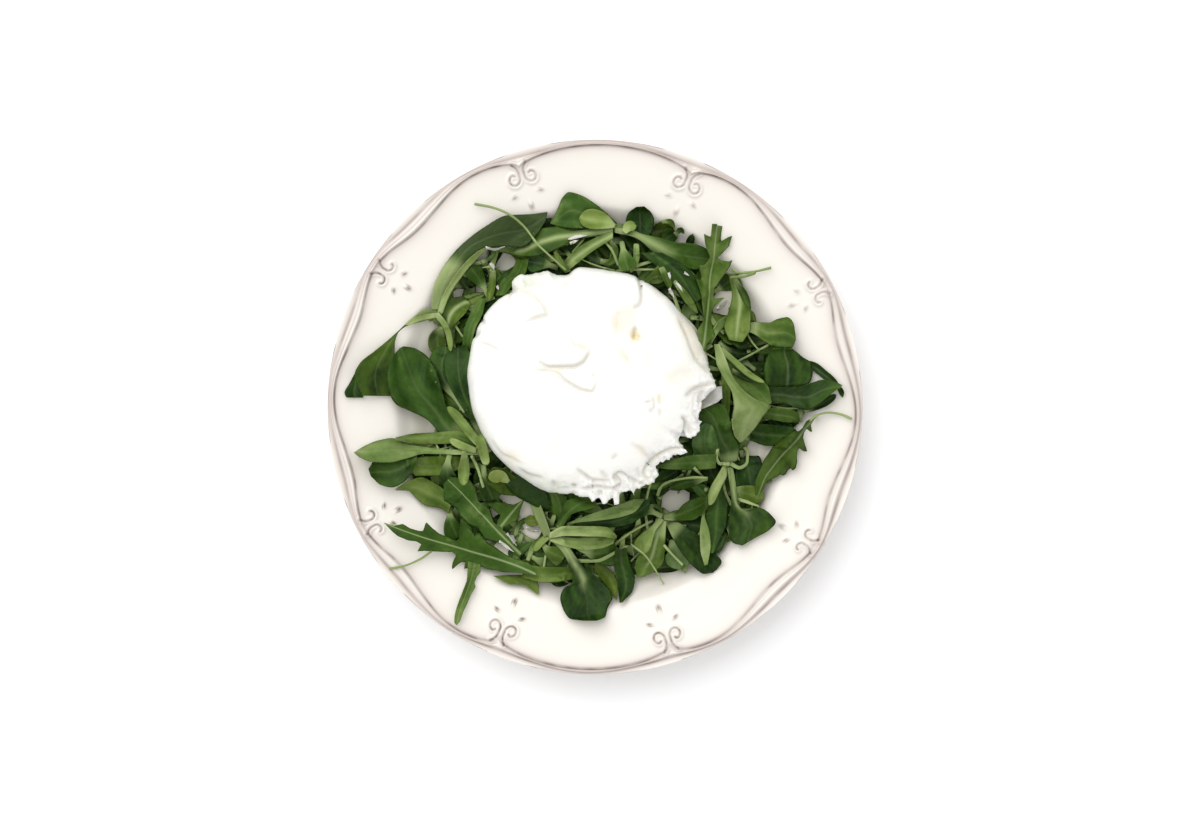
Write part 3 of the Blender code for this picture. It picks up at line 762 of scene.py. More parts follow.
def grow(kind, width, tone, warm, course, rib=0.9, cup=1.6, bank=0.0, arch=1.2, lift=1.0, over=False,
         pale=0.0, base=-0.2, fade=0.0, strip=0.0, reach=0.5, line=0.12):
    """One leaf on the heap, as a closed shell of rings of points and the numbers its material reads.
    The settled sheet is cupped by the square of the place across, banked in proportion to it, ruffled
    at its edges by a wave, arched by half a sine and lifted by the cube of the share along, with a
    groove down the midrib. Both faces stand off it by half the thickness, which closes as an ellipse."""
    u, v, blade, swell, across, length, x, y = leaf_plan(kind, width, course, base)
    under = np.maximum(heap, cheese_top) if over else heap
    z = settle(under, x, y, u, v) + 0.35
    seed = rng.integers(1, 10**6)
    wave = np.sin(2 * np.pi * (v[:, None] * length / RUFFLE_LENGTH + seed % 7 / 7 + 0.3 * u))
    form = swell[:, None] * (cup * u**2 + bank * u + EDGE_RUFFLE * wave * np.abs(u) ** 3)
    form += arch * np.sin(np.pi * v[:, None]) + lift * v[:, None] ** 3
    along = np.broadcast_to(v[:, None] * length, x.shape)
    form += 0.28 * swell[:, None] * cloud(across + 50, along + 50, 4.2, seed)
    form -= 0.30 * swell[:, None] * np.exp(-((across / 0.8) ** 2))
    z = z + form - form.min()
    row, column = cell_of(x, y)
    last = heap.shape[0] - 1
    np.maximum.at(heap, (np.clip(row, 0, last), np.clip(column, 0, last)), z + 0.25)
    middle = np.stack([x, y, z], axis=-1)
    normal = np.cross(np.gradient(middle, axis=0), np.gradient(middle, axis=1))
    normal /= np.linalg.norm(normal, axis=-1, keepdims=True) + 1e-9
    stalkiness = 1 - ease(blade / (0.15 if kind in EDGED_KINDS else 0.35))
    thick = LEAF_HALF_THICKNESS + STALK_HALF_THICKNESS * stalkiness
    if kind == "stalk":
        thick = np.full(len(v), width * 0.45)
    offset = normal * (thick[:, None] * np.sqrt(1 - 0.98 * u**2))[..., None]
    shell = np.concatenate([middle + offset, (middle - offset)[:, -2:0:-1]], axis=1)
    stalk = np.broadcast_to(stalkiness[:, None], x.shape) * (0.75 + pale) + pale * 0.5
    if strip:
        stalk = np.maximum(stalk, np.exp(-((across / strip) ** 2)) * (1 - ease((v[:, None] - reach) / 0.25)))
    mottled = 0.09 * cloud(across, along, 6, seed + 1) + 0.11 * cloud(across, along * 0.18, 2.4, seed + 2)
    numbers = {
        "tone": np.clip(tone - fade * (v[:, None] - 0.5) + mottled, 0, 1),
        "warm": np.full(x.shape, float(warm)),
        "rib": np.abs(across) / (rib * (0.35 + 0.65 * (1 - v[:, None]))),
        "line": np.full(x.shape, float(line)),
        "vein": along / 4.2 - np.abs(across) * 0.36,
        "stalk": np.clip(stalk, 0, 1),
        "under": np.zeros(x.shape),
    }
    folded = {}
    for key, value in numbers.items():
        folded[key] = np.concatenate([value, value[:, -2:0:-1] + (key == "under")], axis=1)
    return shell, folded


rng = np.random.default_rng(7)
cells = np.arange(-HEAP_HALF, HEAP_HALF + 0.1, HEAP_CELL)
cell_x, cell_y = np.meshgrid(cells, cells)
plate_turn, plate_out = polar_about(cell_x, cell_y, (0, 0))
face_knots = [(radius / MM, height / MM) for radius, height in PLATE_FACE]
plate_under = flowing(np.minimum(plate_out, HEAP_HALF - 0.1), face_knots)
cell_turn, cell_gap = polar_about(cell_x, cell_y, CHEESE_MIDDLE)
heap = plate_under + PROP_HEIGHT * ease((76 - cell_gap) / 20)
cheese_share = cell_gap / np.interp(cell_turn, cheese_turns, calm_reach, period=360)
cheese_drop = np.interp(cheese_share, smooth_side[:12, 0], smooth_side[:12, 1], right=60)
cheese_top = cheese_high[2] - cheese_drop * height_scale

# Where lower leaves may lie: inside the heap's edge, round the cheese, and clear of the windows
edge_out = np.interp(plate_turn, *np.array(HEAP_EDGE).T, period=360)
layers = np.where((plate_out < edge_out - 2) & (cell_gap > 52), 0.0, np.inf)
for window_x, window_y, window in WINDOWS:
    layers[np.hypot(cell_x - window_x, cell_y - window_y) < window + 1.5] = np.inf


def scatter(kind, count, lengths, widths, tones, bend):
    """Leaves of one kind laid where the fewest lie yet, inside the heap's edge and clear of its windows.
    Each course is three steps of a third of its length, that turn by equal angles."""
    scattered = []
    tries = 0
    while len(scattered) < count and tries < SCATTER_TRIES:
        tries += 1
        bare = np.flatnonzero(layers.ravel() <= layers.min() + (tries % 3 == 0) * 2)
        cell = rng.choice(bare)
        middle = np.array((cell_x.ravel()[cell], cell_y.ravel()[cell])) + rng.uniform(-3, 3, 2)
        small = rng.uniform(0.55, 1) if tries % 2 else 1.0
        lean = rng.uniform(0, 2 * np.pi)
        length, width = rng.uniform(*lengths) * small, rng.uniform(*widths) * small
        turns = lean + rng.uniform(-bend, bend) * np.array((-1, 0, 1))
        steps = np.stack([np.cos(turns), np.sin(turns)], axis=-1) * length / 3
        half = steps[1] / 2
        course = middle + np.array([-steps[0] - half, -half, half, half + steps[2]])
        x, y = leaf_plan(kind, width, course)[-2:]
        leaf_turn, leaf_out = polar_about(x, y, (0, 0))
        beyond = leaf_out - np.interp(leaf_turn, *np.array(HEAP_EDGE).T, period=360)
        clear = np.all([np.hypot(x - place_x, y - place_y) > gap + 0.3 for place_x, place_y, gap in WINDOWS])
        outside_cheese = polar_about(x, y, CHEESE_MIDDLE)[1].min() > 45
        if clear and outside_cheese and beyond.max() < 2.5 and (beyond > 0).mean() < 0.15:
            tone, warm, arch = rng.choice(tones), rng.uniform(-0.3, 0.5), rng.uniform(0, 1.2)
            cup, bank = rng.uniform(-0.8, 1.2), rng.uniform(-1, 1)
            scattered.append(grow(kind, width, tone, warm, course, arch=arch, cup=cup, bank=bank, lift=0.4))
            covered = np.zeros(layers.shape, bool)
            covered[cell_of(x, y)] = True
            layers[covered] += 1
    return scattered


under_leaves = scatter("under", FILL_LEAVES, (20, 34), (7, 13), FILL_TONES, 0.5)
under_leaves += scatter("lance", FILL_BLADES, (12, 24), (2.2, 4.5), BLADE_TONES, 0.8)
layers = np.where(np.isfinite(layers), 0, np.inf)
loose_stalks = scatter("stalk", FILL_STALKS, (16, 30), (0.8, 1.5), STALK_TONES, 0.4)

# Leaves that can be told apart, bottom to top: kind, width, tone from dark to light, warmth from
# bluish to lime, course from base to tip (or left and right edge), and whatever else sets it apart
LEAVES = (
    # behind the heap's edge
    ("traced", 0, 0.42, 0.6, (
        ((-30, -76), (-26, -79), (-25, -84)),
        ((-46, -76), (-37, -80), (-33, -80), (-26, -84.3))), {}),
    ("traced", 0, 0.4, 0.6, (
        ((-32, -71), (-22, -72), (-8, -72)),
        ((-33, -77), (-22, -79), (-8, -77.5))), dict(fade=0.1)),
    ("traced", 0, 0.35, 0.9, (
        ((2, -70), (8, -75), (10.3, -80), (9.8, -86.5)),
        ((-1, -72), (3, -78), (7, -83), (9.5, -86.8))), {}),
    ("traced", 0, 0.27, 0.4, (
        ((73, 0), (82, -0.5), (90, -2), (92, -6)),
        ((73, -4), (80, -6), (87, -7), (91, -7))), {}),
    ("traced", 0, 0.16, 0.0, (
        ((70, -7), (80, -8), (88, -9), (92, -12)),
        ((70, -15), (78, -17.5), (86, -17), (91, -13))), {}),
    ("traced", 0, 0.12, 0.9, (
        ((25, 80), (27.5, 82.6), (31, 84), (34, 82.5)),
        ((26, 76), (30, 76), (34, 77), (36, 79.5))), dict(cup=0.6)),
    ("traced", 0, 0.18, 0.0, (
        ((30, 76), (30.5, 79), (33, 80.5), (36.5, 79)),
        ((31, 72), (35, 74), (37, 76), (37.5, 78))), dict(cup=1.0)),
    ("lance", 2.2, 0.2, 0.6, ((30.5, 83.4), (33.5, 83.2), (36, 80.2)), {}),
    ("lance", 3.4, 0.12, 0.2, ((41, 72), (43, 75), (44, 78)), {}),
    ("lance", 2.0, 0.15, 0.4, ((36, 77.5), (38.5, 79.6), (40.3, 78.2)), {}),
    ("spoon", 9, 0.1, 0.2, ((54, 52), (58, 55), (62, 58)), {}),
    ("strap", 3.6, 0.12, -0.3, ((88, 20), (97, 18.8), (103, 14.5), (109, 9.8)), {}),
    ("strap", 3.5, 0.1, -0.3, ((94, -1.5), (102, 1.5), (108, 5.5)), {}),
    ("spoon", 8, 0.12, 0.0, ((-62, -40), (-63, -50), (-62, -60)), {}),
    ("spoon", 9, 0.16, 0.1, ((-66, -44), (-65, -52), (-62, -59)), {}),
    ("lance", 5, 0.15, 0.0, ((-52, -46), (-54, -52), (-55, -58)), {}),
    ("spoon", 8, 0.2, 0.1, ((-48, 50), (-52, 57), (-56, 63)), {}),
    ("traced", 0, 0.24, 0.2, (
        ((-44.5, 50), (-42.5, 56.5), (-38.5, 60.5), (-35, 66.5)),
        ((-40, 50), (-36, 56), (-31, 60), (-29.5, 66))), {}),
    ("strap", 3.4, 0.32, 0.8, ((-46, 61.5), (-46.5, 55), (-47.5, 48)), dict(cup=0.5)),
    ("traced", 0, 0.32, 0.1, (
        ((-60, 23), (-58.7, 34), (-56, 42), (-52, 49)),
        ((-56, 23), (-53.5, 34), (-50, 42), (-49, 48.5))), {}),
    ("traced", 0, 0.22, 0.6, (
        ((-68, 36), (-69, 43), (-66, 48.5), (-60, 50), (-57, 48)),
        ((-65, 35), (-62, 38), (-58, 42), (-56, 46))), dict(strip=0.9, reach=0.9)),
    ("oval", 8.5, 0.2, 0.6, ((-69, 36), (-71.5, 30.5), (-70, 24)), {}),
    ("spoon", 9, 0.1, -0.4, ((-17, 62.5), (-23, 64), (-30, 65)), {}),
    ("spoon", 12, 0.13, 0.0, ((-58, -2), (-65, 8), (-69, 17), (-67, 27)), {}),
    ("traced", 0, 0.35, 0.6, (
        ((-60, -28), (-70, -31), (-80, -31), (-84, -25)),
        ((-60, -22), (-68, -22), (-76, -22), (-83, -23.5))), {}),
    ("spoon", 10, 0.15, 0.1, ((-50, -26), (-49, -34), (-46, -42)), {}),
    ("spoon", 13, 0.32, 0.1, ((-8, -63), (0, -66), (10, -65)), {}),
    ("stalk", 1.6, 0.4, 0.4, ((-10, -69), (0, -69.3), (8, -66), (14, -62.5)), {}),
    # left
    ("traced", 0, 0.1, -0.1, (
        ((-51, -21), (-53, -13), (-57, -4), (-62, 4), (-66, 12), (-68, 20), (-65, 26)),
        ((-46.5, -20), (-48, -10), (-52, -2), (-55, 6), (-55.5, 15), (-55, 22), (-58, 27.6))),
     dict(base=0.2, rib=0.7, fade=-0.1)),
    ("traced", 0, 0.1, 0.0, (
        ((-105.5, 18), (-105, 11), (-104, 4.2)),
        ((-107, 16.8), (-110, 11), (-112.3, 6.5), (-111.3, 4.2))), dict(cup=0.3, arch=0.3)),
    ("traced", 0, 0.2, 0.4, (
        ((-70, 40.8), (-77, 38.7), (-84, 36.8), (-88.6, 33), (-90, 27), (-90, 16), (-91, 5)),
        ((-71, 43.6), (-76, 44.3), (-82, 40.4), (-90, 32.7), (-98, 25.6), (-105, 19.6), (-107.3, 14),
         (-104, 5))), dict(base=0.22, fade=0.15, cup=2.5)),
    ("traced", 0, 0.2, -0.05, (
        ((-50, -18.5), (-60, -17), (-70, -11.5), (-76, -5.5), (-84, -1.5), (-89, 1), (-92, 6), (-93, 14),
         (-91, 22), (-88, 26.3)),
        ((-49, -15.5), (-58, -11), (-64, -5), (-67, 2), (-69, 10), (-72, 18), (-77, 24), (-82, 26.8),
         (-86, 27.3))), dict(base=0.18, rib=1.1, cup=2.6)),
    ("traced", 0, 0.16, 0.1, (
        ((-80, -25), (-82.5, -30), (-86, -34), (-91, -36), (-96, -34.8), (-100, -31)),
        ((-80, -21), (-86, -21), (-92, -22), (-98, -23), (-101, -27.5))), dict(cup=1.6)),
    ("spoon", 11, 0.13, -0.3, ((-64, -18), (-66, -28), (-64.5, -42)), dict(cup=2.2)),
    ("traced", 0, 0.42, 0.5, (
        ((-66, -48), (-70, -45.7), (-76, -44.5), (-81, -40.5), (-84, -37.6), (-89, -37.3)),
        ((-64, -40), (-71, -35), (-78, -31.5), (-84, -33.3), (-89, -36.6))), dict(fade=-0.1, cup=1.2)),
    ("lobed", 0, 0.32, 0.0, (
        ((-34.5, -67.5), (-41, -63), (-45, -61), (-50, -60), (-53, -54.5), (-59, -52.5), (-62, -46),
         (-68, -42), (-68, -35)),
        ((-33.5, -66.5), (-42.6, -57.7), (-52, -47.5), (-62, -36.5), (-66, -32.5)),
        ((-33, -66), (-37, -62), (-40, -57), (-46, -52), (-47.5, -46), (-52.5, -42.5), (-53.5, -36),
         (-57, -31.5), (-64, -31.5)),
        0.0), dict(line=1.0, rib=0.5, cup=1.0)),
    ("lobed", 0, 0.3, 0.2, (
        ((-43, -54.2), (-44.3, -52.2), (-43.2, -50), (-42.8, -48.8), (-45, -47.8), (-48, -46.8),
         (-49.6, -45), (-48.5, -43.4), (-45, -42.8), (-41, -43), (-39.5, -43.8), (-37, -44.2),
         (-34.5, -43.1), (-32.2, -41.4)),
        ((-42.8, -54.2), (-37.4, -47.5), (-32, -41.2)),
        ((-42.5, -54.4), (-39.9, -53.8), (-37.7, -52.2), (-35.5, -51.3), (-34.4, -49.6), (-34, -47),
         (-32.8, -44), (-31.8, -41.5)),
        0.0), dict(line=0.8, rib=0.6, cup=0.8)),
    # top
    ("traced", 0, 0.28, -0.1, (
        ((8, 79), (0, 80), (-8, 80), (-14, 80.5), (-20, 82.4)),
        ((10, 83), (5, 87.5), (0, 91.5), (-6, 95), (-11.5, 96.5), (-14.5, 94.3), (-17.5, 88),
         (-20.2, 83.2))), dict(cup=1.6)),
    ("traced", 0, 0.02, 0.0, (
        ((17.5, 76.5), (14.6, 80), (13.8, 84), (15.2, 87.6), (18.4, 89.8)),
        ((24, 76.5), (26, 80), (26.7, 84), (25.2, 87.6), (22.2, 89.9))), dict(cup=2.0, rib=0.4)),
    ("traced", 0, 0.31, 0.3, (
        ((66, 38), (72, 38.3), (78, 38), (82, 39.6), (86, 40.3), (89, 37.5), (90, 32.5)),
        ((66, 34.5), (71, 33), (76, 29.5), (80, 27), (84, 26.5), (88, 26.5), (90, 30))),
     dict(fade=0.25, base=0.2)),
    ("traced", 0, 0.14, 0.1, (
        ((80, 8), (76, 11), (75.7, 16), (77, 22), (80, 26.4), (84, 27)),
        ((92, 9.5), (96.5, 11), (97.6, 15), (97, 19.5), (93, 22.5), (89, 25.6), (86, 27))),
     dict(rib=0.8, cup=1.8, line=0.2)),
    ("lance", 2.2, 0.1, 0.0, ((108.5, 9.5), (110, 7.5), (111, 4.3)), dict(arch=0.2)),
    # Painted shade: darker towards its base, where this leaf lies in shadow.
    ("traced", 0, 0.08, 0.1, (
        ((74, 9.5), (82, 9), (90, 9.3), (96, 10.5), (102, 12.3), (107, 11.4), (110.5, 9.7)),
        ((74, 1), (82, 2.2), (90, -0.5), (95, -1.4), (100, 1.2), (104, 4.6), (109, 8.6))),
     dict(fade=-0.25, cup=1.2)),
    ("oval", 12, 0.38, -0.4, ((34, -60), (37, -65), (38, -73)), dict(cup=1.6)),
    ("traced", 0, 0.05, -0.3, (
        ((68, -22), (74, -22), (76, -30), (72, -39)),
        ((64, -26), (63, -32), (65, -38), (69, -40))), dict(cup=1.6)),
    ("traced", 0, 0.1, 0.0, (
        ((14, -63), (15.5, -70), (18, -77.5), (17, -83), (12.5, -87.6)),
        ((9, -64), (8.5, -71), (9.8, -78), (10.6, -84), (11, -87.9))), dict(cup=1.2)),
    ("traced", 0, 0.02, 0.1, (
        ((33, -50), (40, -53), (47, -58), (53, -64.5), (56.9, -69.5), (55, -73)),
        ((32, -53), (36, -61), (40, -67), (44, -71.5), (49, -75), (53, -74.6))),
     dict(cup=1.6, base=0.14, line=0.03)),
    # top of the heap: upper left and top
    ("traced", 0, 0.19, 0.2, (
        ((8, 78.3), (0, 76.3), (-9, 74.5), (-15, 71.3), (-21, 68.6), (-28, 67.1), (-34, 68), (-37, 69)),
        ((8, 80.6), (0, 80), (-10, 78.9), (-18, 80.7), (-24, 80), (-30, 76), (-35, 71.5), (-37.3, 69.6))),
     dict(base=0.05, strip=1.2, reach=0.8, cup=1.6)),
    ("oval", 9.5, 0.55, 0.6, ((9, 81), (2, 83.5), (-7, 85)), dict(cup=1.6, rib=2.0)),
    ("traced", 0, 0.52, 0.3, (
        ((8, 75.3), (0, 70), (-6, 65.4), (-11.5, 61)),
        ((8, 78.8), (0, 75.4), (-8, 70.5), (-14.5, 64.5))), dict(strip=1.0, reach=1.0, cup=0.8)),
    ("traced", 0, 0.35, 0.5, (
        ((-13.5, 60), (-17, 64), (-18.5, 69)),
        ((-10.5, 60.5), (-14, 65), (-17, 69.5))), dict(cup=0.8)),
    ("traced", 0, 0.22, 0.1, (
        ((9, 80.6), (15, 80), (22, 77.5), (29, 76.2), (36, 74.2), (44, 73.5), (50, 71.5), (54.6, 67.5)),
        ((9, 78), (15, 76.8), (20, 74.5), (25, 70), (31, 65.5), (38, 62.7), (45, 62), (50.5, 63),
         (54.2, 65.5))), dict(base=0.1, strip=2.2, reach=0.42, cup=2.0)),
    ("oval", 5, 0.62, 0.6, ((13, 78), (15.5, 81), (18.5, 81.5)), {}),
    ("traced", 0, 0.02, -0.05, (
        ((-73.7, 44), (-73, 52), (-69.5, 61), (-62, 71), (-50, 80.6), (-39, 86.1), (-30, 86.6),
         (-21.3, 87.9)),
        ((-69, 44), (-66, 51), (-60, 61), (-52, 70.5), (-41, 72.3), (-33, 71.5), (-26, 77.5), (-22.5, 83))),
     dict(base=0.27, rib=0.7, cup=2.0, fade=0.1, pale=0.2)),
    ("strap", 2.6, 0.72, 0.5, ((-70, 42), (-66.5, 51), (-61, 59.5), (-55, 66.5), (-49, 71.5)),
     dict(pale=0.4, cup=0.3)),
    ("strap", 2.0, 0.7, 0.5, ((-71, 41.5), (-78, 40), (-85, 37)), dict(pale=0.3, cup=0.3)),
    ("strap", 2.6, 0.6, 0.4, ((-71.5, 42), (-68, 37.5), (-66, 33), (-64.5, 25)), dict(pale=0.25, cup=0.3)),
    # right
    ("traced", 0, 0.36, 0.2, (
        ((56, 27), (62, 21), (69, 15.5), (75, 12), (78, 8), (79, 2)),
        ((55, 25), (59, 17), (62, 10.5), (66, 6.5), (71, 3), (77, 0.5))), dict(rib=0.5)),
    ("strap", 2.6, 0.58, 0.3, ((56, 26), (63, 19.7), (70, 13.7), (75.5, 11)), dict(cup=0.4)),
    ("lance", 1.8, 0.0, 0.0, ((61, 16.5), (66, 13.3), (71, 10.8)), dict(cup=0.0, arch=0.2)),
    ("oval", 4, 0.35, 0.5, ((57, 22), (58.5, 8), (58, -10)), dict(cup=0.8)),
    ("traced", 0, 0.17, 0.1, (
        ((57, -25), (53.5, -20), (50.5, -16), (48.5, -11), (46, -6), (44.6, -1.4)),
        ((64, -24), (65, -18), (62, -12), (60, -5), (57, 1), (49, 2.6))), dict(cup=2.0, base=0.05)),
    ("traced", 0, 0.62, 0.05, (
        ((55.2, 28), (58, 21.5), (61.5, 13), (66, 7.5), (71.5, 3.5), (78.5, 0.3), (75.5, -4), (72, -9.5),
         (66.5, -15.5)),
        ((53.4, 28), (54, 20), (57.5, 12.5), (61, 6), (61.8, 0), (60.7, -6), (61.8, -12), (65, -16))),
     dict(rib=1.0, cup=1.8, base=0.15)),
    ("traced", 0, 0.38, 0.5, (
        ((64.5, 60), (68, 52), (70, 45), (70, 36), (66, 29)),
        ((60, 60), (62, 51), (60.5, 44), (58, 36), (60, 30))), dict(strip=0.8, reach=0.8, cup=1.6)),
    ("lance", 3, 0.08, 0.3, ((63, 58), (67.5, 50), (70, 43)), dict(bank=1.5)),
    ("traced", 0, 0.32, -0.5, (
        ((46, -24), (43, -17), (44, -11), (49, -7)),
        ((56, -22), (55, -16), (54, -12), (52, -8))), dict(cup=0.6)),
    # lower right
    ("traced", 0, 0.14, 0.0, (
        ((58, -29), (57.5, -37), (59.8, -44), (59.6, -51), (57, -58), (53, -65.6)),
        ((56, -29), (53, -37), (50.5, -44), (49.5, -50), (51.5, -57), (52, -65.6))), dict(cup=1.0)),
    ("traced", 0, 0.64, 0.1, (
        ((57, -30), (54, -38), (51, -44), (49.3, -49), (51.4, -56), (52, -62), (50.5, -70.6)),
        ((55, -30), (51.5, -37), (49, -44), (47.8, -50), (47, -57), (47.3, -64), (49, -71))),
     dict(rib=0.5, cup=0.8)),
    ("strap", 4.4, 0.62, 0.4, ((60, -25), (56.7, -31), (53.5, -37), (51.3, -44)), dict(pale=0.2, cup=0.4)),
    ("oval", 8, 0.36, 0.7, ((62, -37), (69, -39), (76.5, -41)), {}),
    ("stalk", 1.4, 0.55, 0.4, ((63, -41), (68, -42.5), (73.5, -44.5)), dict(pale=0.3)),
    ("traced", 0, 0.13, 0.15, (
        ((62, -27), (63.5, -36), (64.5, -43), (68, -46.5), (74, -45.2), (79, -48.5), (81, -51.5),
         (78, -55.2), (71, -59.3)),
        ((59.3, -27), (60.3, -36), (61, -43), (60, -50), (60, -56), (62, -61), (66, -62.2))),
     dict(strip=1.6, reach=0.45, cup=1.8, base=0.1, fade=0.05)),
    ("stalk", 1.8, 0.7, 0.5, ((60, -25.5), (56, -25.3), (54.2, -22), (54.5, -19)), dict(pale=0.3)),
    ("stalk", 1.8, 0.7, 0.5, ((61, -25.5), (65, -27.3), (68.6, -25), (69, -20.5), (67.5, -18)),
     dict(pale=0.3)),
    ("traced", 0, 0.27, 0.2, (
        ((31, -48.5), (36, -47.5), (41, -43), (47, -40.6), (50, -40.2)),
        ((31, -50.5), (37, -51), (43, -51), (47, -49), (49.5, -45))), dict(base=0.15)),
    ("traced", 0, 0.33, 0.4, (
        ((32, -51), (31.5, -60), (31, -69), (27, -74), (22, -76.8)),
        ((29.5, -51), (24, -58), (21, -64), (18, -71), (19, -77))), dict(base=0.2, strip=0.7, reach=0.6)),
    ("spoon", 7.5, 0.52, 0.3, ((30, -50), (24, -57), (19.5, -65)), {}),
    ("spoon", 9, 0.15, 0.0, ((30, -49), (23, -46), (15, -45)), {}),
    ("traced", 0, 0.38, 0.1, (
        ((54, -27.5), (44, -28.3), (34, -28), (27, -27)),
        ((54, -21), (44, -21.3), (36, -23), (29, -25.5))), dict(cup=0.8)),
    ("stalk", 1.4, 0.5, 0.3, ((44, -27), (46.5, -29.5), (49, -32)), dict(pale=0.2)),
    ("lance", 6, 0.12, 0.1, ((50, -32), (42, -33.5), (33, -37)), {}),
    # bottom
    ("traced", 0, 0.05, -0.2, (
        ((-8, -50), (6, -49), (16, -45.5), (25, -40)),
        ((-8, -53), (5, -54), (16, -52), (24, -46))), dict(cup=1.0)),
    ("traced", 0, 0.56, -0.1, (
        ((-12.5, -52), (-6, -49.3), (3, -46), (12, -43), (18, -41), (22, -41)),
        ((-12.5, -52.6), (-6, -51.4), (5, -50.2), (13, -48.6), (18, -46.5), (21.5, -42))),
     dict(rib=0.5, cup=0.8)),
    ("traced", 0, 0.22, 0.2, (
        ((-18, -54), (-15, -47), (-13.5, -42.5), (-9, -40)),
        ((-14.5, -54), (-10.5, -48), (-3, -45.5), (2, -44))), {}),
    ("spoon", 9, 0.2, 0.6, ((-25, -60), (-21, -64.5), (-14, -68)), {}),
    ("traced", 0, 0.05, 0.0, (
        ((-17, -57.5), (-12, -62), (-8, -68), (-4, -73), (2, -77.5), (7.5, -83.5), (7.9, -86), (5.8, -90),
         (4.5, -94.3), (1, -95.5)),
        ((-20.5, -59.5), (-15, -64.5), (-12, -70), (-10, -76), (-10.5, -79.6), (-14, -81.5), (-15.7, -86),
         (-13.5, -92.5), (-10.5, -95.3), (-6, -95.5))),
     dict(base=0.22, strip=1.5, reach=0.45, cup=1.4, line=0.06)),
    ("strap", 3, 0.6, 0.5, ((-21, -58), (-24.5, -61), (-27.5, -65)), dict(cup=0.3)),
    ("oval", 5, 0.42, 1.0, ((-24, -50), (-28, -51.5), (-32, -51.5)), {}),
    ("traced", 0, 0.21, 0.7, (
        ((-23, -58.5), (-27, -50), (-31.5, -41), (-35, -40.3), (-42, -39.5), (-46, -36.5), (-48.6, -34)),
        ((-19.7, -57), (-23, -48), (-27.5, -38), (-31, -35.5), (-36, -31), (-41, -27.5), (-45, -26.8),
         (-48.5, -31))), dict(base=0.5, cup=1.8, fade=-0.1)),
    ("oval", 6, 0.7, 1.0, ((-39, -33.5), (-43, -31), (-47.5, -31.5)), {}),
    ("traced", 0, 0.6, 0.2, (
        ((-20, -57.7), (-8, -58.4), (2, -58.3), (9, -58.6)),
        ((-20, -60), (-12, -62.7), (-4, -64), (3, -63.3), (8, -61))),
     dict(rib=0.6, cup=0.8, base=0.15, fade=0.25)),
    ("traced", 0, 0.63, 0.2, (
        ((-20, -56.2), (-14, -53.2), (-5, -53), (5, -53.4), (9.8, -57.5)),
        ((-20.5, -58.8), (-12, -57.7), (0, -57.8), (6, -58.3), (9.6, -58.8))),
     dict(rib=0.6, cup=1.6, base=0.15, fade=0.25)),
    # lower left
    ("traced", 0, 0.47, 0.0, (
        ((-50, -21.5), (-64, -21.2), (-76, -21), (-84, -23), (-92, -24.9), (-99, -24.6), (-104.5, -22.6),
         (-107.2, -20.3)),
        ((-50, -18.5), (-64, -19), (-76, -18), (-85, -16.2), (-91, -13.9), (-97, -14.9), (-103, -17.2),
         (-107, -19.6))), dict(base=0.2, rib=0.6, cup=1.0)),
    ("traced", 0, 0.42, 0.3, (
        ((-52, -19), (-62, -16.3), (-70, -16.6), (-80, -16.6), (-89, -15)),
        ((-52, -15.5), (-62, -10.5), (-72, -11.4), (-82, -12), (-89.5, -13.6))), dict(rib=0.5, cup=0.6)),
    ("strap", 3.4, 0.66, 0.5, ((-53, -19.5), (-59, -17.5), (-65, -14.5)), dict(pale=0.2, cup=0.3)),
    ("strap", 4.4, 0.5, 0.4, ((-51, -17), (-57, -10), (-62, -4), (-66, 0)), dict(rib=0.8, cup=0.6)),
    ("strap", 4.6, 0.52, 0.4, ((-48.5, -25.5), (-50, -19), (-51.5, -12)), dict(rib=0.8, cup=0.6)),
    ("oval", 5, 0.5, 0.4, ((-58, -20), (-58.5, -27), (-58.7, -35)), {}),
    ("stalk", 1.3, 0.5, 0.5, ((-55, -22), (-52, -29), (-50, -36)), dict(pale=0.2)),
    # rocket on top, then stalks
    ("lobed", 0, 0.23, 0.1, (
        ((-26.3, -76), (-33.6, -74.8), (-41, -74.4), (-44.7, -73.6), (-49.3, -72.8), (-53, -70.4),
         (-55.5, -71.8), (-59.4, -72.8), (-58.1, -69.8), (-60.4, -69.4), (-62.2, -71.4), (-63.2, -73.4),
         (-64.3, -71.9), (-63.6, -68.7), (-62.2, -66.4), (-64.1, -65), (-69.6, -64.8), (-76, -64.2),
         (-79.4, -64.4), (-76.5, -61.8), (-79.7, -60), (-83.4, -59.5), (-88, -57.6), (-90.8, -55.3),
         (-94, -52.2)),
        ((-26.3, -75.2), (-35.5, -71.5), (-44.7, -68.4), (-55.8, -65), (-64.1, -62.2), (-75.1, -58.8),
         (-86.2, -54.9), (-94.2, -52)),
        ((-26.3, -74.4), (-30, -70.1), (-35.5, -68.7), (-40.1, -66.9), (-44.7, -63.6), (-48.4, -61.3),
         (-50.7, -58.6), (-52.5, -56.3), (-54.4, -58), (-55.8, -54), (-58.5, -50.7), (-61.3, -48.9),
         (-61.3, -51.2), (-59.4, -54.9), (-58.3, -58.1), (-59.6, -59.8), (-62.4, -59.8), (-66.4, -58.1),
         (-69.6, -56.7), (-72.8, -54), (-75.3, -51.2), (-76.2, -53.4), (-76.4, -55.3), (-78.6, -55.3),
         (-82.5, -54.1), (-85.7, -52.1), (-89.9, -53), (-94, -51.8)),
        0.35), dict(line=0.9, cup=0.6, rib=0.5)),
    ("lobed", 0, 0.37, 0.2, (
        ((-51.2, -70), (-51.4, -74.2), (-53, -76.1), (-54.2, -78.8), (-53.6, -80.7), (-55.8, -84.4),
         (-57.6, -89), (-60.4, -95.9), (-61.6, -97.4)),
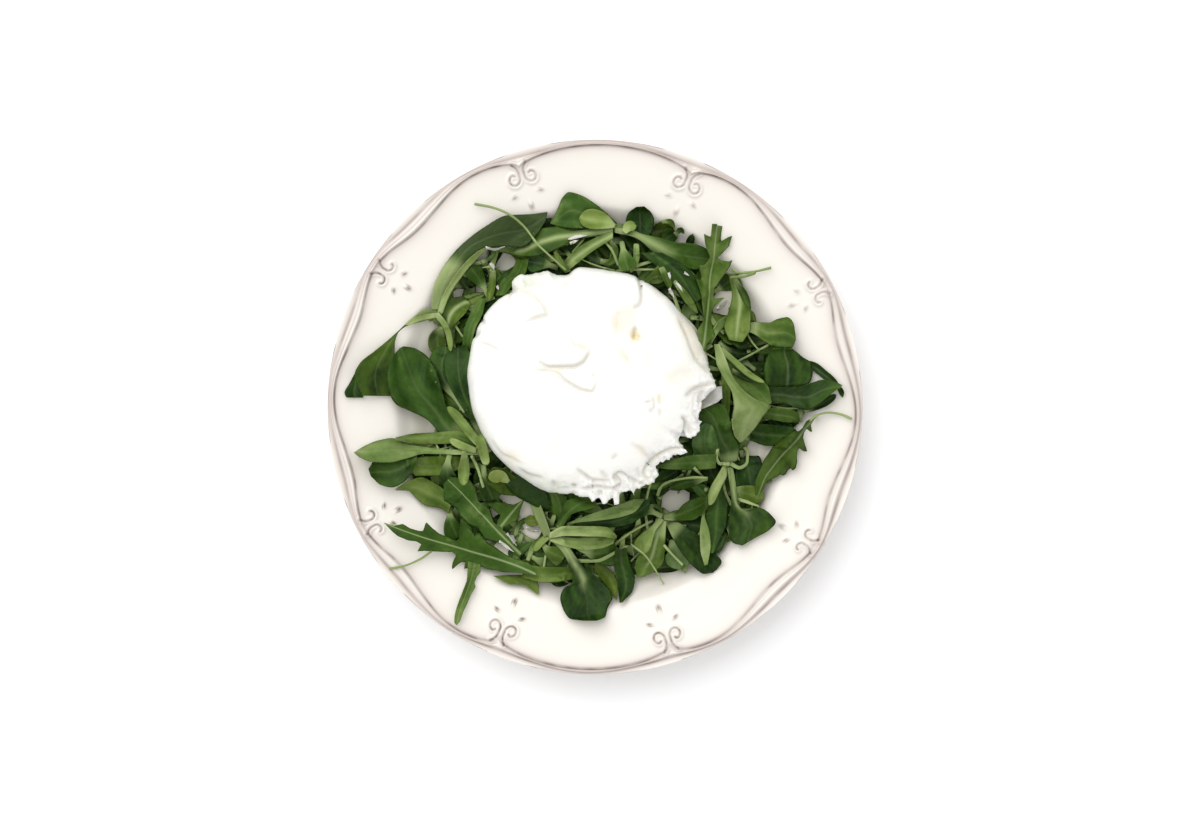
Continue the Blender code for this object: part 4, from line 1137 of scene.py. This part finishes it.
        ((-54, -70), (-55.6, -77), (-58, -84), (-60.5, -91), (-62, -97.6)),
        ((-57, -69), (-57.6, -77.9), (-60.4, -85.3), (-62.9, -93.6), (-63, -96.4), (-62.4, -97.5)),
        0.0), dict(line=0.3, rib=0.5, cup=0.6)),
    ("lobed", 0, 0.2, 0.5, (
        ((100, -4.2), (97.9, -6.5), (96.9, -8), (97.2, -9.6), (97.5, -11), (96.3, -10.9), (95.1, -9.7),
         (93.9, -11.3), (93.3, -13.7), (93.8, -16.3), (94.7, -20.2), (93.2, -20), (91.6, -18.4),
         (90.9, -19.5), (90.6, -22.1), (90.6, -24.7), (90.2, -27.2), (89, -28.3), (87.9, -27.4),
         (86.6, -28.4), (85.6, -30.2), (84.3, -31), (83.2, -30.3), (81.8, -31.3), (80, -32.1),
         (77.6, -33.4), (76.6, -35.3), (74, -39.5)),
        ((99.8, -3.9), (94.5, -8.9), (90.8, -14.2), (87.1, -18.4), (83.4, -22.6), (80, -27), (77, -31),
         (73, -39.6)),
        ((99.6, -3.6), (97.6, -4.7), (94.5, -6.3), (92.9, -9.2), (91.3, -10.8), (89.2, -10.8),
         (87.1, -11.8), (83.6, -14.6), (80, -17.8), (78.4, -20.5), (76, -24), (74.4, -28), (72, -34),
         (71.6, -39)),
        0.3), dict(line=0.5, rib=0.6, cup=1.0)),
    ("traced", 0, 0.08, 0.0, (
        ((30, 69), (42, 62), (50, 50)),
        ((20, 69), (30, 60), (41, 45))), dict(cup=0.8)),
    ("lobed", 0, 0.34, 0.3, (
        ((45, 20), (46, 28), (45.5, 34), (48.9, 39.2), (48.5, 42.8), (48, 46.5), (47.6, 50.1), (46.5, 53.8),
         (44.9, 58.2), (47, 57.4), (48.2, 58.6), (47.6, 61.4), (47.1, 64.2), (49, 63.9), (50.4, 65.2),
         (51.7, 67.4), (50.6, 69.5), (49.6, 71.9), (49.1, 74.4), (48.8, 77.8), (50.8, 76.6), (51.8, 76.3),
         (52, 78.6), (52.2, 81.8), (54.6, 81.6)),
        ((46, 19.8), (47.6, 25), (48.7, 30), (49.9, 38.6), (50.8, 44.7), (51.4, 51.3), (51.8, 57.5),
         (52.6, 63), (53.4, 67.6), (53.9, 75), (54.6, 81.6)),
        ((47, 19.5), (50, 28), (53.6, 32.2), (52, 39.2), (52.6, 42.9), (53.2, 44.7), (54.6, 46.2),
         (58.4, 49.6), (55.9, 49.3), (54, 48.7), (53.6, 50.7), (54, 53.8), (55.4, 55.6), (57.2, 58),
         (59.4, 60.1), (61, 62.4), (61.8, 66.2), (59.9, 65.4), (58.1, 65.7), (55.9, 66.7), (55.1, 67.5),
         (56.7, 68.9), (58.3, 70.7), (60.1, 72.5), (61.8, 76.6), (60.2, 76.2), (59, 75.2), (56.9, 74),
         (56.6, 75.4), (56.8, 78), (57.3, 81.4), (54.6, 81.6)),
        0.8), dict(line=0.8, over=True, cup=0.5, rib=0.6)),
    ("traced", 0, 0.28, 0.7, (
        ((34, 54), (28, 57), (20.8, 53.6)),
        ((28, 63), (23.5, 58), (20, 53))), dict(over=True, cup=0.6)),
    ("strap", 2.5, 0.5, 0.1, ((18.5, 73), (18.5, 67), (16, 60)), {}),
    ("spoon", 8, 0.35, 0.1, ((12, 74), (13, 68), (15, 61)), {}),
    ("lance", 3.4, 0.42, 0.4, ((35.5, 56), (40, 50), (46, 42)), {}),
    ("strap", 3, 0.3, 0.3, ((29.5, 62), (32, 57), (33.5, 53)), {}),
    ("stalk", 1.2, 0.3, 0.5, ((-54, 91), (-48, 90), (-42, 88), (-36, 84.5), (-31, 80), (-26, 73), (-21, 68),
                              (-13, 61)),
     dict(arch=3.0)),
    ("stalk", 1.2, 0.36, 0.4, ((79, 62.5), (70, 60.6), (65, 60.3), (61.5, 62)), {}),
    ("stalk", 1.2, 0.36, 0.4, ((72, 60.3), (66, 58.6), (61, 58.5)), {}),
    ("stalk", 1.2, 0.4, 0.3, ((115, -5.3), (110, -3.2), (105, -2.5), (100, -3.4), (96, -6)),
     dict(pale=0.1)),
    ("stalk", 0.9, 0.7, 0.6, ((16, -61.5), (22, -66), (27, -73), (31, -80)), dict(pale=0.4)),
    ("stalk", 1.3, 0.36, 0.5, ((28, -40), (30, -35.5), (36, -32.7), (45, -31.5), (50, -31.7)), {}),
    ("stalk", 1.3, 0.6, 0.4, ((31, -62), (35, -66.5), (39.5, -71)), dict(pale=0.2)),
    ("stalk", 1.1, 0.36, 0.4, ((-92, -72.5), (-85, -71), (-78, -68), (-73, -64.5)), {}),
)
lettuce, rocket = [], []
for kind, width, tone, warm, course, extra in LEAVES:
    group = {"lobed": rocket, "stalk": loose_stalks}.get(kind, lettuce)
    group.append(grow(kind, width, tone, warm, course, **extra))


# ---- Curd shreds and flap ---------------------------------------------------------------------
# Slivers of the same curd laid on the leaves where they shine: painted highlights, built as shreds shed
# where the cheese was torn. With them, a wet flap of its sheet that lies folded on the leaves beside the
# torn edge, painted grey for the shade it lies in; the shreds are greyed too, to a soft glint.

SHRED_SHARE = 0.9  # each shred's width against the one given
SHRED_SHADE, FLAP_SHADE = 1.9, 1.7
LIMP = dict(cup=0.5, arch=0.5, lift=0.2, line=0)
# Painted highlights: white slivers laid where the leaves shine, each a width and a course
SHREDS = (
    (1.1, ((-49, 71.6), (-45, 70.9), (-40.5, 72.2))), (1.9, ((-47, 64.8), (-46, 63.4), (-45.6, 61.8))),
    (1.3, ((-44, 54.4), (-43.2, 52.6))), (1.9, ((-12, 74.6), (-8.5, 75.9), (-3.5, 76.6))),
    (1.5, ((-11, 72.9), (-7.4, 74.2))), (1.4, ((32.9, 59.8), (33.5, 56.8))),
    (1.3, ((36.2, 55.5), (37.6, 53.8), (39, 51.4))), (1.5, ((33.1, 52.8), (34.2, 50.8), (35.3, 48.8))),
    (1.2, ((40, 60.1), (42.2, 58.8))), (2.6, ((55.2, 44.4), (57.6, 46), (60, 48.6))),
    (1.7, ((-31.5, -54.6), (-28.5, -55.8), (-25.5, -56.3))),
    (1.6, ((-43.4, -60.8), (-40, -63.2), (-36.8, -65.6))),
    (0.6, ((-39.9, -57.1), (-37.6, -60), (-35.5, -62.7))),
)
FLAP_SIDES = (
    ((46.5, 3.5), (50.5, 6.4), (54, 9.0), (56.6, 9.4)),
    ((46.8, -1.2), (50.4, 0.2), (54, 1.8), (56.8, 3.9)),
)


def shaded_curd(leaf, shade):
    """A grown sheet of curd, with the one even shade that the curd's material reads."""
    shell, numbers = leaf
    return shell, numbers | {"shade": np.full(shell.shape[:2], shade)}


grown = [grow("shred", SHRED_SHARE * width, 0, 0, course, **LIMP) for width, course in SHREDS]
shreds = [shaded_curd(leaf, SHRED_SHADE) for leaf in grown]
flap = [shaded_curd(grow("traced", 0, 0, 0, FLAP_SIDES, **LIMP | {"cup": 0.6}), FLAP_SHADE)]


# ---- Pressed leaves ---------------------------------------------------------------------------
# The heap's hidden middle, where leaves are pressed together at the foot of the cheese: a low dark
# ring with an uneven skin. It shares its green with every leaf.

CORE_OUT, CORE_WIDE = 54, 7.5  # the ring's middle about the cheese's, and its half width
CORE_LOW, CORE_TALL = 8.2, 5.0
CORE_TURNS, CORE_LOOP = 180, 24

turns, loop = np.meshgrid(
    np.linspace(0, 360, CORE_TURNS, endpoint=False), np.linspace(0, 2 * np.pi, CORE_LOOP, endpoint=False),
)
core_turn = np.radians(turns)
core_out = CORE_OUT + CORE_WIDE * np.cos(loop)
core_out += 0.8 * cloud(turns, core_out, 4, 31)
core_height = CORE_LOW + CORE_TALL * (1 - np.sin(loop))
core_height += 0.8 * cloud(turns, core_out + 9 * np.sin(loop), 3, 32)
core_x = CHEESE_MIDDLE[0] + core_out * np.cos(core_turn)
core_y = CHEESE_MIDDLE[1] + core_out * np.sin(core_turn)
core = np.stack([core_x, core_y, core_height], axis=-1)
even_numbers = {"tone": 0.05, "warm": 0, "rib": 9, "line": 0, "vein": 0, "stalk": 0, "under": 0}
pressed = new_piece(
    "pressed_leaves", core.reshape(-1, 3) * MM, ring_faces(CORE_LOOP, CORE_TURNS, looped=True),
    np.zeros((0, 3), int), **{key: np.full(turns.size, value) for key, value in even_numbers.items()},
)


def screen(red, green, blue):
    """Linear colour for the one a screen shows with these values from 0 to 255: a share up to a
    twenty-fifth is divided by 12.92, and a larger one follows a power of 2.4."""
    share = np.array((red, green, blue)) / 255
    linear = np.where(share < 0.04045, share / 12.92, ((share + 0.055) / 1.055) ** 2.4)
    return tuple(float(part) for part in linear)


def colour_run(tree, share, colours):
    """A run of four screen colours along a share from 0 to 1, straight between the places of the four."""
    made = add(tree, "ValToRGB", {"Fac": share})
    run = made.color_ramp.elements
    while len(run) < len(colours):
        run.new(0.5)
    for element, place, colour in zip(run, (0, 0.3, 0.6, 1), colours):
        element.position = place
        element.color = (*screen(*colour), 1)
    return made.outputs[0]


STALK_PALE = screen(152, 168, 112)
UNDERSIDE_GREY = screen(116, 130, 84)

green, tree, shader = new_material("salad_green", Roughness=0.42, Specular_IOR_Level=0.10)
patches = reckon(tree, "MULTIPLY", reckon(tree, "SUBTRACT", mottle(tree, 0.003, 3.0), 0.5), 0.22)
tone = reckon(tree, "ADD", own_value(tree, "tone"), patches)
# Each run goes from dark to pale green; its pale end is partly the leaves' own pale green and partly painted
# sheen, for leaves that shine under the light.
fresh = colour_run(tree, tone, ((21, 44, 7), (57, 86, 27), (113, 132, 74), (170, 180, 134)))
limed = colour_run(tree, tone, ((32, 44, 6), (78, 96, 28), (124, 142, 66), (174, 184, 124)))
cooled = colour_run(tree, tone, ((20, 44, 18), (53, 80, 40), (114, 132, 92), (168, 180, 142)))
warm = own_value(tree, "warm")
blade = tint(tree, reckon(tree, "MAXIMUM", warm, 0.0, True), fresh, limed)
blade = tint(tree, reckon(tree, "MULTIPLY", warm, -1.0, True), blade, cooled)
rib = own_value(tree, "rib")
rib_line = reckon(tree, "POWER", 2.718, reckon(tree, "MULTIPLY", reckon(tree, "MULTIPLY", rib, rib), -1.0))
vein = reckon(tree, "COSINE", reckon(tree, "MULTIPLY", own_value(tree, "vein"), 6.2832), 0.0)
vein_line = reckon(tree, "POWER", reckon(tree, "MULTIPLY", reckon(tree, "ADD", vein, 1.0), 0.5), 7.0)
pale = tint(tree, 0.6, limed, screen(166, 184, 132))
veined = tint(tree, reckon(tree, "MULTIPLY", vein_line, 0.022), blade, pale)
ribbed = tint(tree, reckon(tree, "MULTIPLY", rib_line, own_value(tree, "line")), veined, pale)
stalked = tint(tree, reckon(tree, "MULTIPLY", own_value(tree, "stalk"), 0.8), ribbed, STALK_PALE)
turned = tint(tree, reckon(tree, "MULTIPLY", own_value(tree, "under"), 0.55), stalked, UNDERSIDE_GREY)
tree.links.new(turned, shader.inputs["Base Color"])
sunk_lines = reckon(tree, "MULTIPLY", reckon(tree, "ADD", vein_line, rib_line), -0.25)
dent(tree, shader, reckon(tree, "ADD", sunk_lines, mottle(tree, 0.0012, 3.0)), 0.00014)
pressed.data.materials.append(green)
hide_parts("salad")


# ---- The heap, settled ------------------------------------------------------------------------
# The leaves and shreds as they lie in the end: each kind is one piece, and the loose heap has sunk
# under its own weight, deepest beside the cheese and thin at its rim and round its windows.

HEAP_SHAPE = ((0, 0.90), (0.16, 1.0), (0.36, 1.02), (0.56, 0.88), (0.74, 0.66), (0.88, 0.45), (1.2, 0.35))
HEAP_START = 54  # the heap's inner edge, about the cheese's middle
WINDOW_SINK, WINDOW_REACH = 0.78, 7

direction = np.radians(plate_turn)
toward = CHEESE_MIDDLE[0] * np.cos(direction) + CHEESE_MIDDLE[1] * np.sin(direction)
cheese_out = toward + np.sqrt(toward**2 - (CHEESE_MIDDLE**2).sum() + HEAP_START**2)
ring_share = (plate_out - cheese_out) / (edge_out - cheese_out)
wanted = HEAP_DEPTH * flowing(np.clip(ring_share, 0, 1.2), HEAP_SHAPE)
for window_x, window_y, window in WINDOWS:
    away = np.hypot(cell_x - window_x, cell_y - window_y)
    wanted *= 1 - WINDOW_SINK * np.exp(-((away / (window + WINDOW_REACH)) ** 2))


def evened(field, passes):
    """A field evened out: each cell becomes the mean of itself and its four neighbours, again and again."""
    for _ in range(passes):
        field = (field + sum(np.roll(field, shift, axis) for shift in (1, -1) for axis in (0, 1))) / 5
    return field


piled = evened(heap - plate_under, 3)
piled = np.max([np.roll(piled, shift, axis) for shift in (-2, 0, 2) for axis in (0, 1)], axis=0)
sinking = evened(np.clip(wanted / np.maximum(piled, 2), 0.35, 1.1), 8)


def join_leaves(name, leaves, node, material):
    """All leaves of a kind as one piece: their rings one after another, with both ends of each closed,
    and each height above the plate multiplied by the share it sinks to at its place."""
    points, quads, caps = [], [], []
    numbers = {key: [] for key in leaves[0][1]}
    start = 0
    for shell, values in leaves:
        x, y = shell[..., 0], shell[..., 1]
        ground = heap_height(plate_under, x, y)
        shell[..., 2] = ground + (shell[..., 2] - ground) * heap_height(sinking, x, y)
        rings, columns = shell.shape[:2]
        count = rings * columns
        points += [shell.reshape(-1, 3), [shell[0].mean(axis=0), shell[-1].mean(axis=0)]]
        quads.append(ring_faces(rings, columns) + start)
        caps.append(end_caps(count, columns) + start)
        for key, value in values.items():
            numbers[key] += [value.ravel(), [value[0].mean(), value[-1].mean()]]
        start += count + 2
    piece = new_piece(
        name, np.concatenate(points) * MM, np.concatenate(quads), np.concatenate(caps),
        **{key: np.concatenate(value) for key, value in numbers.items()},
    )
    piece.data.materials.append(material)
    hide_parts(node)


join_leaves("under_leaves", under_leaves, "salad", green)
join_leaves("lambs_lettuce", lettuce, "salad", green)
join_leaves("rocket_leaves", rocket, "salad", green)
join_leaves("loose_stalks", loose_stalks, "salad", green)
# The shreds stand for glints on the leaves: painted highlights, built as curd.
join_leaves("curd_shreds", shreds, "burrata", curd)
# The flap is painted grey for shade.
join_leaves("curd_flap", flap, "burrata", curd)


# ---- Floor, light and camera ------------------------------------------------------------------
# A white table top, one broad soft window light from the upper left and a bright even room, seen
# from straight above.

VIEW_HEIGHT = 1.10  # from the plate's rim up to the camera
VIEW_PLACE = (0.00224, -0.00313)
FRAME_SCALE = 66.99  # lens millimetres for each metre of height, so the plate fills as much as it should
TABLE_HALF = 3.0
TABLE_WHITE = (0.93, 0.93, 0.935)

floor_mesh = bpy.data.meshes.new("table")
corner_sides = ((-1, -1), (1, -1), (1, 1), (-1, 1))
floor_mesh.from_pydata([(TABLE_HALF * a, TABLE_HALF * b, 0) for a, b in corner_sides], [], [(0, 1, 2, 3)])
floor = bpy.data.objects.new("table", floor_mesh)
bpy.context.scene.collection.objects.link(floor)
floor_mesh.materials.append(new_material("table_white", Roughness=0.6, Base_Color=(*TABLE_WHITE, 1))[0])

world = bpy.data.worlds.new("room")
world.use_nodes = True
world.node_tree.nodes["Background"].inputs["Color"].default_value = (1.0, 1.0, 1.0, 1)
world.node_tree.nodes["Background"].inputs["Strength"].default_value = 0.95
bpy.context.scene.world = world


def soft_light(name, place, target, size, watts):
    """A square area light at a place, turned towards a target."""
    light = bpy.data.lights.new(name, "AREA")
    light.size = size
    light.energy = watts
    lamp = bpy.data.objects.new(name, light)
    lamp.location = place
    lamp.rotation_euler = (Vector(target) - Vector(place)).to_track_quat("-Z", "Y").to_euler()
    bpy.context.scene.collection.objects.link(lamp)


soft_light("window", (-0.62, 0.92, 1.22), (0, 0, 0), 1.8, 21)

camera = bpy.data.objects.new("camera", bpy.data.cameras.new("camera"))
camera.data.sensor_width = 36
camera.data.lens = FRAME_SCALE * VIEW_HEIGHT
camera.location = (*VIEW_PLACE, plate_high[2] + VIEW_HEIGHT)
bpy.context.scene.collection.objects.link(camera)
bpy.context.scene.camera = camera
bpy.context.scene.view_settings.view_transform = "Standard"
